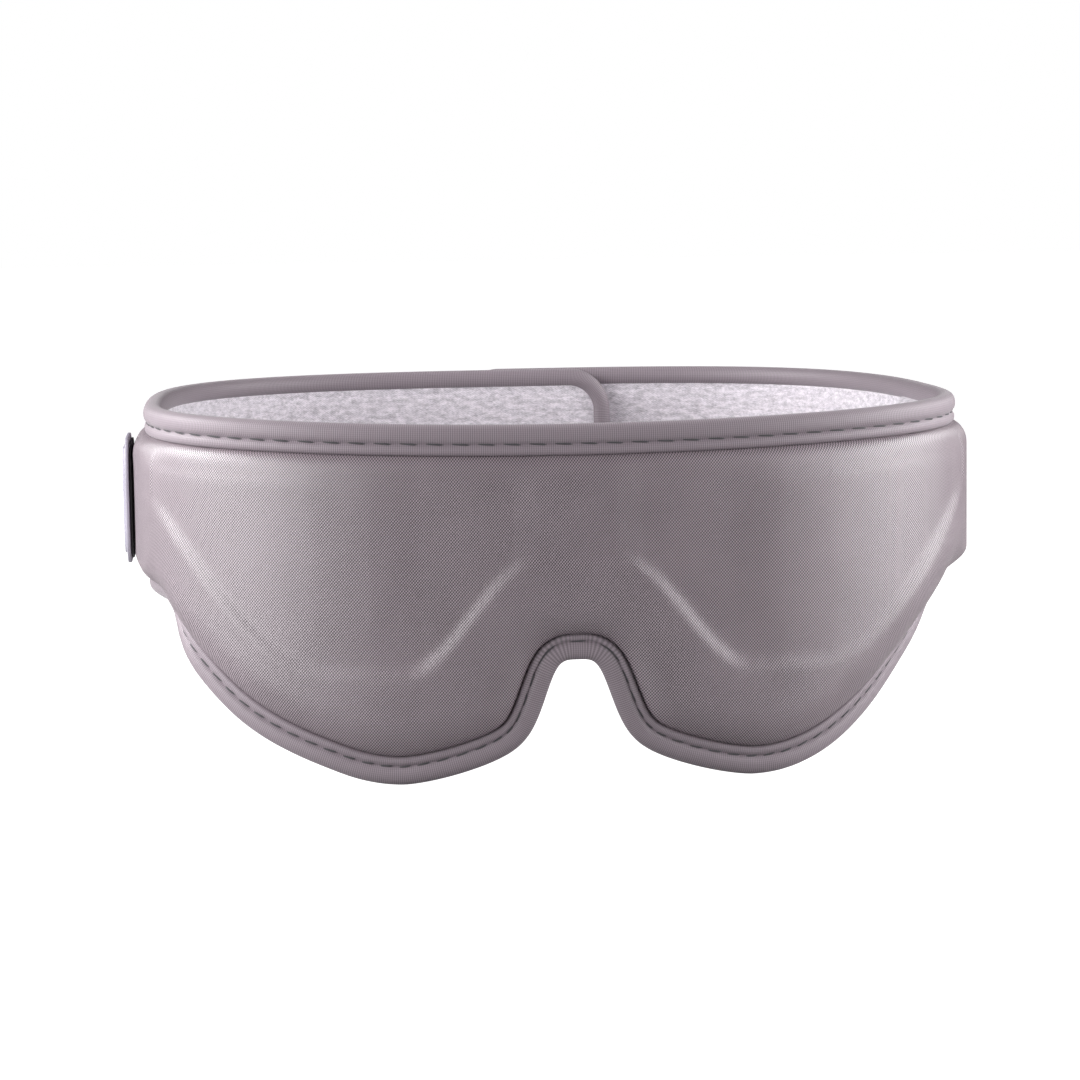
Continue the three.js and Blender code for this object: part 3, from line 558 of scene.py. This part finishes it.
silicone = moulded("grey silicone", (166, 161, 174), 0.7, 1500, 0.05, 0.1)
steel = moulded("stamped steel", (176, 178, 182), 0.32, 3000, 0.1, 0.15, Metallic=1.0)
weight_metal = moulded("sintered weight metal", (168, 148, 104), 0.45, 4200, 0.25, 0.2, Metallic=1.0)
copper_film = moulded("amber film", (186, 116, 42), 0.35, 1200, 0.03, 0.12)
board_green = moulded("board green", (28, 92, 58), 0.42, 900, 0.08, 0.2)
cell_foil = moulded("cell foil", (178, 180, 184), 0.36, 700, 0.2, 0.15, Metallic=0.8)
frame_white = moulded("frame plastic", (214, 214, 216), 0.5, 2200, 0.1, 0.06)
hooks = woven("hook tape", WEAVE, (64, 58, 62), (150, 139, 146), 1.3, 1.3, 1.0, 0.6, Roughness=0.8)
print("finishes", len(bpy.data.materials))


def dress(thing, material, body, *nodes, slot=None):
    """Gives a new piece its finish, the body that it moves with, and the CAD nodes that it stands for."""
    thing.data.materials.clear()
    thing.data.materials.append(material)
    if body:
        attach(thing, body)
    if nodes:
        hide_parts(*nodes)
    return thing


# %% [markdown]
# ## The satin cover
#
# The cover is one panel, pulled over foam and a stiff frame and caught in the tape all round. It leaves the
# seam steeply, like the side of a cushion, and is nearly flat in the middle. Above the crease it lies a
# millimetre lower, where the frame inside holds the foam flat. A formula in the flat pattern gives this
# more exactly than a blown-up cloth would, because the frame, not air, sets the shape.

# %% Cover shape
SEAM_INSET = 6.6
SEAM_LEVEL = 0.95
RISE_AT = 7.2
COVER_END = 170.0
FRONT_RISE = 4.5
TEMPLE_RISE = 4.3
FRONT_REACH = 8.5
TEMPLE_REACH = 5.0
RECESS = 1.2
CREASE_WIDTH = 4.2
SHARE_AT = (0, 9, 15, 36, 47, 60, 78, 98, 108)
CREASE_SHARE = (0.45, 0.5, 1.0, 1.0, 0.6, 0.55, 0.9, 0.85, 0.0)

slope = np.gradient(edge_z, edge_s)
steep = np.hypot(1, slope)
seam_inset = SEAM_INSET - squeeze(edge_s)
seam_s = edge_s - slope / steep * seam_inset
seam_z = edge_z + seam_inset / steep


def bottom_seam(s):
    """The height of the lower seam: the outline moved in along its normal by the seam's inset."""
    return np.interp(s, seam_s, seam_z)


def top_seam(s):
    return top_height(s) - SEAM_INSET


def temple(s):
    """Nought over the face, one over the flat module in each temple."""
    return smooth((np.abs(s) - 100) / 16)


def module_end(s):
    """One up to the end of the temple module, nought where the strap begins."""
    return 1 - smooth((np.abs(s) - 158.5) / 9.5)


def pattern_grid(columns, rows, low, high, crowd=0.75):
    """Pattern points in columns: heights run from low(s) to high(s), closer together near both ends."""
    t = np.linspace(0, 1, rows)
    t = (1 - crowd) * t + crowd * (1 - np.cos(np.pi * t)) / 2
    s = np.repeat(columns[:, None], rows, 1)
    floor = low(columns)[:, None]
    return s, floor + (high(columns)[:, None] - floor) * t[None]


crease_s = np.arange(-105, 105.2, 0.4)
crease_z = crease_height(crease_s)


def crease_side(s, z):
    """The signed distance from the crease, positive above it, in the panel over the frame."""
    away = distance_to(s, z, crease_s, crease_z)
    inside = (z > crease_height(s)) & (np.abs(s) < 105)
    return np.where(inside, away, -away)


def cover_offset(s, z):
    """How far the satin stands out: a quarter-round rise from the seam, less the recess above the crease."""
    from_edge = np.minimum(distance_to(s, z, edge_s, edge_z), top_height(s) - z)
    reach = FRONT_REACH + (TEMPLE_REACH - FRONT_REACH) * temple(s)
    rise = FRONT_RISE + (TEMPLE_RISE - FRONT_RISE) * temple(s)
    from_edge = from_edge + squeeze(s) * (z < top_height(s) / 2) * (1 - temple(s))
    body = rise * pillow((from_edge - RISE_AT) / reach) * module_end(s)
    share = np.interp(np.abs(s), SHARE_AT, CREASE_SHARE)
    inner = share * smooth(crease_side(s, z) / CREASE_WIDTH + 0.5)
    return SEAM_LEVEL + body - RECESS * inner * smooth((from_edge - RISE_AT) / 6)


# %% Make the cover
nose_columns = np.linspace(-30, 30, 121)
side_columns = np.linspace(30.5, COVER_END, 210)
cover_columns = np.sort(np.concatenate([nose_columns, side_columns, -side_columns]))
s, z = pattern_grid(cover_columns, 84, bottom_seam, top_seam)
out = cover_offset(s, z)
cover = slab("satin_cover", wrap(s, z, out), wrap(s, z, out - 0.9), np.stack([s, z], -1))
dress(check_out(cover), satin, "mask", "front_cover", slot="mauve_twill")

# %% [markdown]
# ## The edge tape
#
# One tape is folded over every raw edge and sewn through. The sewing line pulls a groove into it, so on the
# outside it reads as a wide roll and a narrow roll. On the face side the fold is shorter and shows one roll.
# The section is a closed smooth curve through a few points, and at every stitch the groove is a little
# deeper.

# %% Tape section
GROOVE_AT = 4.5
TAPE_EDGE = 7.2
wide_roll = [(0.0, 0.0), (0.3, 1.25), (1.1, 2.15), (2.4, 2.45), (3.6, 2.3), (4.25, 1.85), (GROOVE_AT, 1.6)]
narrow_roll = [(4.75, 1.75), (5.2, 2.1), (6.0, 2.25), (6.85, 1.95), (TAPE_EDGE, 1.2), (6.6, 0.6)]
fold = [(4.0, 0.55), (1.8, 0.5), (1.4, 0.0), (1.8, -0.5), (3.6, -0.6)]
face_roll = [(4.7, -0.95), (4.7, -1.6), (4.1, -2.2), (3.1, -2.5), (2.0, -2.45), (0.9, -1.95), (0.2, -1.05)]
TAPE_POINTS = np.array(wide_roll + narrow_roll + fold + face_roll)


def closed_curve(points, between):
    """A closed Catmull-Rom curve: each stretch is a cubic whose ends lean along their neighbours' chord."""
    a, b, c, d = (np.roll(points, -k, 0)[:, None] for k in (-1, 0, 1, 2))
    t = (np.arange(between) / between)[None, :, None]
    cubic = (-a + 3 * b - 3 * c + d) * t**3 + (2 * a - 5 * b + 4 * c - d) * t**2 + (c - a) * t + 2 * b
    return (cubic / 2).reshape(-1, 2)


tape_section = closed_curve(TAPE_POINTS, 2)


def along(points_s, points_z):
    """The running length of a path in the flat pattern."""
    return np.concatenate([[0], np.cumsum(np.hypot(np.diff(points_s), np.diff(points_z)))])


def no_shift(s):
    return 0 * s


def resample(path, step):
    """Moves a path's points to even steps along it; path holds s, z and the inward normal."""
    length = along(path[0], path[1])
    count = max(2, int(round(length[-1] / step)) + 1)
    u = np.linspace(0, length[-1], count)
    return u, [np.interp(u, length, row) for row in path]


def tape_piece(name, path, pitch, shift, narrow=no_shift):
    """Carries the tape's section along a path. The groove is deeper under each stitch, and the inner roll
    can be narrower."""
    u, (s, z, across_s, across_z) = resample(path, 0.75)
    h = tape_section[:, 0][None]
    h = h - narrow(s)[:, None] * np.clip((h - GROOVE_AT) / (TAPE_EDGE - GROOVE_AT), 0, 1)
    d = np.repeat(tape_section[:, 1][None], len(u), 0)
    pull = 0.5 + 0.5 * np.cos(2 * np.pi * u / pitch)[:, None]
    near = np.exp(-(((h - GROOVE_AT) / 0.75) ** 2)) * (d > 0.8)
    plump = np.exp(-(((h - 2.3) / 1.2) ** 2)) * (d > 0.8)
    d = d - 0.16 * near * pull + 0.03 * plump * pull
    at = s[:, None] + across_s[:, None] * h
    rings = wrap(at, z[:, None] + across_z[:, None] * h, d + shift(at))
    girth = along(tape_section[:, 0], tape_section[:, 1])
    flat = np.stack(np.broadcast_arrays(u[:, None], girth[None]), -1)
    return check_out(tube(name, rings, flat))


# %% [markdown]
# ## Stitches
#
# A lockstitch shows as a row of short dashes that dive into the cloth at both ends. Each is a thin tube of
# seven rings that lies in the groove, slightly aslant, and all the stitches of one seam are one mesh, so the
# whole seam is made in one array step.

# %% Stitch builder
STITCH_SHARE = 0.74
THREAD_RADIUS = 0.21
RINGS = 7
SIDES = 6


def stitch_piece(name, path, pitch, shift):
    """One tube for each stitch: its rings run from -1 to 1 along it, and it arches out by (1 - t^4)."""
    u, (s, z, across_s, across_z) = resample(path, 0.25)
    count = int(u[-1] // pitch)
    middles = (np.arange(count) + 0.5) * pitch + (u[-1] - count * pitch) / 2
    t = np.linspace(-1, 1, RINGS)
    places = middles[:, None] + t[None] * pitch * STITCH_SHARE / 2
    h = GROOVE_AT + 0.16 * t[None, :, None]
    turn = np.linspace(0, 2 * np.pi, SIDES, endpoint=False)[None, None]
    thick = THREAD_RADIUS * np.sqrt(np.maximum(0.04, 1 - t**4))[None, :, None]
    h = h + thick * np.cos(turn) * 0.95
    d = 1.5 + 0.2 * (1 - t**4)[None, :, None] + thick * np.sin(turn)
    row = [np.interp(places, u, values)[:, :, None] for values in (s, z, across_s, across_z)]
    at = row[0] + row[2] * h
    rings = wrap(at, row[1] + row[3] * h, d + shift(at))
    ring = np.arange(SIDES)
    near = np.arange(RINGS - 1)[:, None] * SIDES
    far = near + SIDES
    after = (ring + 1) % SIDES
    quads = np.stack([near + ring, near + after, far + after, far + ring], -1)
    starts = RINGS * SIDES * np.arange(count)[:, None]
    faces = (quads.reshape(1, -1, 4) + starts[:, :, None]).reshape(-1, 4).tolist()
    faces += (starts + ring[::-1]).tolist() + (starts + (RINGS - 1) * SIDES + ring).tolist()
    flat = np.stack(np.broadcast_arrays(places[:, :, None] + 0 * thick, turn + 0 * thick), -1)
    return check_out(mesh_object(name, rings.reshape(-1, 3), faces, flat.reshape(-1, 2)))


# %% Tape and stitches round the front
TAPE_END = 166.0
TOP_PITCH = 5.9
BOTTOM_PITCH = 4.9


def edge_path(start, stop, height, up):
    """A path along an edge of the pattern, with the normal that points into the cloth."""
    s = np.linspace(start, stop, int(abs(stop - start) / 0.2) + 2)
    lean = (height(s + 0.05) - height(s - 0.05)) / 0.1
    size = np.hypot(1, lean)
    return [s, height(s), -up * lean / size, up / size]


front_edges = {
    "cheek": (edge_path(-TAPE_END, TAPE_END, bottom_height, 1), BOTTOM_PITCH, "bottom_binding"),
    "brow": (edge_path(-TAPE_END, TAPE_END, top_height, -1), TOP_PITCH, "top_binding"),
}
for label, (path, pitch, node) in front_edges.items():
    ribbon = tape_piece(f"{label}_tape", path, pitch, no_shift, squeeze if label == "cheek" else no_shift)
    dress(ribbon, tape, "mask", node, slot="mauve_tape")
    dress(stitch_piece(f"{label}_stitches", path, pitch, no_shift), thread, "mask", slot="mauve_tape")

# %% [markdown]
# ## The face cushion
#
# Against the face lies foam under heather jersey, with a hollow before each eye, so that the lids are not
# pressed, and thin over the bridge of the nose. It is one closed pad: its outer face is flat against the
# frame and its inner face follows the sum of a rise from the seam and two rounded hollows.

# %% Make the face cushion
EYE_AT = 33.0
EYE_HEIGHT = 50.0


def eye_hollow(s, z):
    """A flat-bottomed oval, 7 mm deep, from the sum of two powers."""
    x = (np.abs(s) - EYE_AT) / 23
    y = (z - EYE_HEIGHT) / 16
    reach = (np.abs(x) ** 2.6 + np.abs(y) ** 2.6) ** (1 / 2.6)
    return 7 * (1 - smooth((reach - 0.5) / 0.5))


def cushion_offset(s, z):
    """The jersey's offset, towards the face: thin at the nose, full at the cheeks, thin at the temples."""
    from_edge = np.minimum(distance_to(s, z, edge_s, edge_z), top_height(s) - z)
    full = 5 + 6 * smooth((np.abs(s) - 2) / 14) - 5.5 * smooth((np.abs(s) - 62) / 40)
    share = pillow((from_edge - 4.2) / (15 - 8 * temple(s))) * module_end(s)
    return -1.2 - full * share + eye_hollow(s, z) * np.clip(share * 1.2 - 0.2, 0, 1)


s, z = pattern_grid(cover_columns, 72, lambda s: bottom_height(s) + 4.2, lambda s: top_height(s) - 4.2)
inside = cushion_offset(s, z)
cushion = slab("face_cushion", wrap(s, z, -0.75 + 0 * s), wrap(s, z, inside), np.stack([s, z], -1))
dress(check_out(cushion), lining, "mask", "face_lining", "face_pad", slot="heather_jersey")

# %% [markdown]
# ## The straps
#
# Each strap is a flat sandwich of twill and jersey with taped edges and a rounded end. The real strap
# bends where it leaves the temple and again at the corner of the head; here each strap is made in two
# fixed lengths that meet in the stretch between those two places. The two straps lean apart by the
# thickness of one strap where they lap.

# %% Strap shape
LAP = 5.4
MEET_AT = 205.0
TIP_RADIUS = 12.0
TWILL_SEAM = 6.4
JERSEY_SEAM = 4.1
strap_tips = {"outer_strap": HALF_RING + 14.7, "inner_strap": HALF_RING + 29.0}
strap_sides = {"outer_strap": 1.0, "inner_strap": -1.0}


def lap_shift(side):
    """The outer strap's offset grows by half a lap from the temple to the back; the inner strap's shrinks."""
    return lambda s: side * LAP / 2 * smooth((np.abs(s) - 190) / 80)


def tip_path(side, start, tip):
    """Along the top edge, round the rounded end and back along the bottom edge."""
    straight = tip - TIP_RADIUS
    run = np.arange(start, straight, 0.5)
    turn = np.linspace(0, np.pi / 2, 40)
    bend = straight + TIP_RADIUS * np.sin(turn)
    drop = TIP_RADIUS * (1 - np.cos(turn))
    s = np.concatenate([run, bend, bend[::-1], run[::-1]])
    z = np.concatenate([TOP + 0 * run, TOP - drop, (STRAP_FOOT + drop)[::-1], STRAP_FOOT + 0 * run])
    in_s = np.concatenate([0 * run, -np.sin(turn), -np.sin(turn)[::-1], 0 * run])
    in_z = np.concatenate([-1 + 0 * run, -np.cos(turn), np.cos(turn)[::-1], 1 + 0 * run])
    return [side * s, z, side * in_s, in_z]


def strap_offset(s, z, tip):
    """A slight rise from the tape's seam, all round the rounded end, in millimetres."""
    past = np.maximum(0, np.abs(s) - (tip - TIP_RADIUS))
    lift = np.maximum(np.abs(z - (TOP + STRAP_FOOT) / 2) - (TOP - STRAP_FOOT) / 2 + TIP_RADIUS, 0)
    from_edge = TIP_RADIUS - np.hypot(past, lift)
    return pillow((from_edge - TWILL_SEAM) / 5)


def strap_columns(side, start, stop, tip, seam):
    """Columns from start to stop; a length that ends at the tip goes round it, a seam's width inside."""
    bend = TIP_RADIUS - seam
    straight = np.linspace(start, min(stop, tip - TIP_RADIUS), 2 + int((stop - start) * 0.9))
    turn = bend * np.sin(np.linspace(0, np.pi / 2, 14)[1:])
    return side * (np.concatenate([straight, tip - TIP_RADIUS + turn]) if stop >= tip else straight)


def strap_face(name, side, start, stop, tip, seam, levels):
    """A thin slab of one length of strap; levels are its near and far offsets, and how much it swells."""
    shift = lap_shift(side)
    columns = strap_columns(side, start, stop, tip, seam)
    bend = TIP_RADIUS - seam
    past = np.clip((np.abs(columns) - tip + TIP_RADIUS) / bend, 0, 1)
    inset = TIP_RADIUS - bend * np.sqrt(1 - past**2)
    s, z = pattern_grid(columns, 36, lambda c: bottom_height(c) + inset, lambda c: top_height(c) - inset)
    near, far, swell = levels
    rise = swell * strap_offset(s, z, tip)
    faces = [wrap(s, z, near + 0 * s + shift(s)), wrap(s, z, far + rise + shift(s))]
    return check_out(slab(name, *faces, np.stack([s, z], -1)))


def strap_faces(name, side, start, stop, tip):
    twill = strap_face(name + "_twill", side, start, stop, tip, TWILL_SEAM, (0.6, 1.0, 1.0))
    jersey = strap_face(name + "_jersey", side, start, stop, tip, JERSEY_SEAM, (-0.6, -1.4, -0.7))
    return twill, jersey


# %% [markdown]
# Each length stays where it is made, and its place is baked into its points. Points on the ring a few
# millimetres before and after each joint are worked out, but nothing uses them.

# %% Make the straps
def on_ring(side, away):
    return tuple(float(v) for v in wrap(side * away, (TOP + STRAP_FOOT) / 2, 0.0))


for strap, side in strap_sides.items():
    tip = strap_tips[strap]
    shift = lap_shift(side)
    root_paths = [
        edge_path(side * TAPE_END, side * MEET_AT, top_height, -1),
        edge_path(side * TAPE_END, side * MEET_AT, bottom_height, 1),
    ]
    pieces = {"root": [], "tail": []}
    for part, start, stop in (("root", TAPE_END, MEET_AT), ("tail", MEET_AT, tip)):
        twill, jersey = strap_faces(f"{strap}_{part}", side, start, stop, tip)
        pieces[part] += [(twill, satin, "mauve_twill"), (jersey, lining, "heather_jersey")]
    for edge, path in zip(("top", "foot"), root_paths):
        name = f"{strap}_root_{edge}"
        ribbon = tape_piece(f"{name}_tape", path, TOP_PITCH, shift)
        stitches = stitch_piece(f"{name}_stitches", path, TOP_PITCH, shift)
        pieces["root"] += [(ribbon, tape, "mauve_tape"), (stitches, thread, "mauve_tape")]
    path = tip_path(side, MEET_AT, tip)
    ribbon = tape_piece(f"{strap}_tail_tape", path, TOP_PITCH, shift)
    stitches = stitch_piece(f"{strap}_tail_stitches", path, TOP_PITCH, shift)
    pieces["tail"] += [(ribbon, tape, "mauve_tape"), (stitches, thread, "mauve_tape")]
    for piece, finish, slot in pieces["root"]:
        dress(piece, finish, None, slot=slot)
        on_ring(side, 168)
        on_ring(side, 182)
        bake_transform(piece)
    for piece, finish, slot in pieces["tail"]:
        dress(piece, finish, None, slot=slot)
        on_ring(side, 226)
        on_ring(side, 247)
        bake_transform(piece)
    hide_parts(f"{strap}_front_band")
    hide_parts(f"{strap}_front_lining")
    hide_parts(f"{strap}_front_top_binding")
    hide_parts(f"{strap}_front_bottom_binding")
    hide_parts(f"{strap}_tail_band")
    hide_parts(f"{strap}_tail_lining")
    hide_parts(f"{strap}_tail_binding")

# %% [markdown]
# ## Hook and loop
#
# The straps close with a short patch of hooks under the outer tip, on a long patch of loops over the inner
# tip, so the size can be changed. Both patches lie in the lap. Each is a thin plate with rounded corners,
# sewn down, and its pile is drawn by a coarse weave.

# %% Make the fastening patches
PATCH_MARGIN = 9.6
patches = {
    "outer_strap": ("hook_field", "hook_patch", (292.0, 322.0), (0.3, 1.0)),
    "inner_strap": ("loop_field", "loop_patch", (250.0, 336.0), (-0.7, -0.1)),
}
for strap, (name, node, (start, stop), levels) in patches.items():
    side = strap_sides[strap]
    shift = lap_shift(side)
    turn = 3 * (1 - np.cos(np.linspace(0, np.pi / 2, 7)))
    columns = np.concatenate([start + turn, np.arange(start + 4, stop - 3.5, 1.0), stop - turn[::-1]])
    past = np.maximum(np.maximum(start + 3 - columns, columns - stop + 3), 0)
    drop = PATCH_MARGIN + 3 - np.sqrt(9 - np.minimum(past, 3) ** 2)
    s, z = pattern_grid(side * columns, 24, lambda c: STRAP_FOOT + drop, lambda c: TOP - drop)
    rise = shift(s) - side * LAP / 2
    faces = [wrap(s, z, level + rise) for level in levels]
    patch = check_out(slab(name, *faces, np.stack([s, z], -1)))
    dress(patch, hooks, f"{strap}_tail", node, slot="fastening_nylon")

# %% [markdown]
# ## Hard parts
#
# The pod's shell, the keys and the flap are moulded, so their edges are rounded. The frame's meshes are
# loose triangles and are left alone: each shown one is copied, its triangles are joined and merged into
# flat faces, and a small bevel rounds every sharp edge.

# %% Rounded copies of the pod's parts
def rounded_copy(node, name, material, body, width, slot):
    """A copy of a CAD node with joined triangles, flat faces made whole, and a bevel of the given width."""
    source = frame["nodes"][node]
    thing = bpy.data.objects.new(name, source.data.copy())
    bpy.context.scene.collection.objects.link(thing)
    bpy.context.view_layer.objects.active = thing
    bpy.ops.object.select_all(action="DESELECT")
    thing.select_set(True)
    bpy.ops.object.mode_set(mode="EDIT")
    bpy.ops.mesh.select_all(action="SELECT")
    bpy.ops.mesh.remove_doubles(threshold=2e-6)
    bpy.ops.mesh.dissolve_limited(angle_limit=math.radians(1))
    bpy.ops.object.mode_set(mode="OBJECT")
    bevel = thing.modifiers.new("soft edge", "BEVEL")
    bevel.width = width * MM
    bevel.segments = 3
    bevel.limit_method = "ANGLE"
    bevel.angle_limit = math.radians(40)
    bevel.use_clamp_overlap = True
    bpy.ops.object.modifier_apply(modifier=bevel.name)
    thing.data.shade_smooth()
    thing.data.set_sharp_from_angle(angle=math.radians(35))
    dress(thing, material, body, node, slot=slot)
    print(name, len(thing.data.polygons), "faces")


rounded_copy("pod_base", "pod_gasket", black, "mask", 0.12, "black_plastic")
rounded_copy("pod_bezel", "pod_rim", silver, "mask", 0.25, "silver_plastic")
rounded_copy("pod_face", "pod_shell", pearl, "mask", 0.25, "pearl_plastic")
rounded_copy("power_button", "power_key_cap", pearl, "power_key", 0.3, "pearl_plastic")
rounded_copy("mode_button", "mode_key_cap", pearl, "mode_key", 0.25, "pearl_plastic")
rounded_copy("port_flap", "port_flap_skin", silicone, "flap", 0.25, "silicone")

# %% Finishes of the carried-over parts
slot_finish = {
    "frame_plastic": frame_white,
    "black_plastic": black,
    "silver_plastic": silver,
    "pearl_plastic": pearl,
    "circuit_board": board_green,
    "steel": steel,
    "weight_metal": weight_metal,
    "polyimide": copper_film,
    "cell_foil": cell_foil,
    "silicone": silicone,
    "fastening_nylon": hooks,
}
for entry in frame["record"]["subparts"]:
    finish = slot_finish.get(entry["material_slot"])
    if finish:
        node = frame["nodes"][entry["node"]]
        node.data.materials.clear()
        node.data.materials.append(finish)

# %% [markdown]
# ## Light, floor and background
#
# Two tall soft lights at the sides leave the middle of the front darker, which is what shows its curve. A
# pale floor throws light back up under the lobes. The background is plain white to the camera.

# %% Light and floor
def soft_light(name, azimuth, elevation, distance, size, power):
    """A rectangular light on a sphere round the middle of the mask, turned to face it."""
    data = bpy.data.lights.new(name, "AREA")
    data.shape = "RECTANGLE"
    data.size, data.size_y = size
    data.energy = power
    light = bpy.data.objects.new(name, data)
    a, e = math.radians(azimuth), math.radians(elevation)
    out = Vector((math.sin(a) * math.cos(e), -math.cos(a) * math.cos(e), math.sin(e)))
    light.location = Vector((0, 0, 0.05)) + out * distance
    light.rotation_euler = out.to_track_quat("Z", "Y").to_euler()
    bpy.context.scene.collection.objects.link(light)


soft_light("left light", -62, 10, 0.4, (0.38, 0.4), 2.35)
soft_light("right light", 67, 10, 0.4, (0.36, 0.4), 2.4)
soft_light("left rim", -112, 10, 0.5, (0.25, 0.4), 0.4)
soft_light("left overhead", -104, 32, 0.6, (0.4, 0.3), 3.8)
soft_light("right overhead", 104, 32, 0.6, (0.4, 0.3), 2.0)

world = bpy.data.worlds.new("white studio")
world.use_nodes = True
bpy.context.scene.world = world
tree = world.node_tree
tree.nodes.clear()
seen = tree.nodes.new("ShaderNodeBackground")
seen.inputs["Color"].default_value = (1, 1, 1, 1)
around = tree.nodes.new("ShaderNodeBackground")
around.inputs["Color"].default_value = (1, 0.99, 1, 1)
around.inputs["Strength"].default_value = 0.02
chooser = tree.nodes.new("ShaderNodeMixShader")
tree.links.new(tree.nodes.new("ShaderNodeLightPath").outputs["Is Camera Ray"], chooser.inputs["Fac"])
tree.links.new(around.outputs[0], chooser.inputs[1])
tree.links.new(seen.outputs[0], chooser.inputs[2])
tree.links.new(chooser.outputs[0], tree.nodes.new("ShaderNodeOutputWorld").inputs["Surface"])

floor_mesh = bpy.data.meshes.new("floor")
FLOOR_AT = -0.001
floor_corners = [(x, y, FLOOR_AT) for x, y in ((-6, -6), (6, -6), (6, 6), (-6, 6))]
floor_mesh.from_pydata(floor_corners, [], [(0, 1, 2, 3)])
floor = bpy.data.objects.new("floor", floor_mesh)
bpy.context.scene.collection.objects.link(floor)
floor_white, tree, shader = start_material("pale floor", Roughness=0.9)
shader.inputs["Base Color"].default_value = (0.3, 0.3, 0.3, 1)
shader.inputs["Emission Color"].default_value = (1, 1, 1, 1)
glow = calc(tree, "MULTIPLY_ADD", tree.nodes.new("ShaderNodeLightPath").outputs["Is Camera Ray"], 1.0, 0.03)
tree.links.new(glow, shader.inputs["Emission Strength"])
floor_mesh.materials.append(floor_white)
bpy.context.scene.view_settings.view_transform = "Standard"
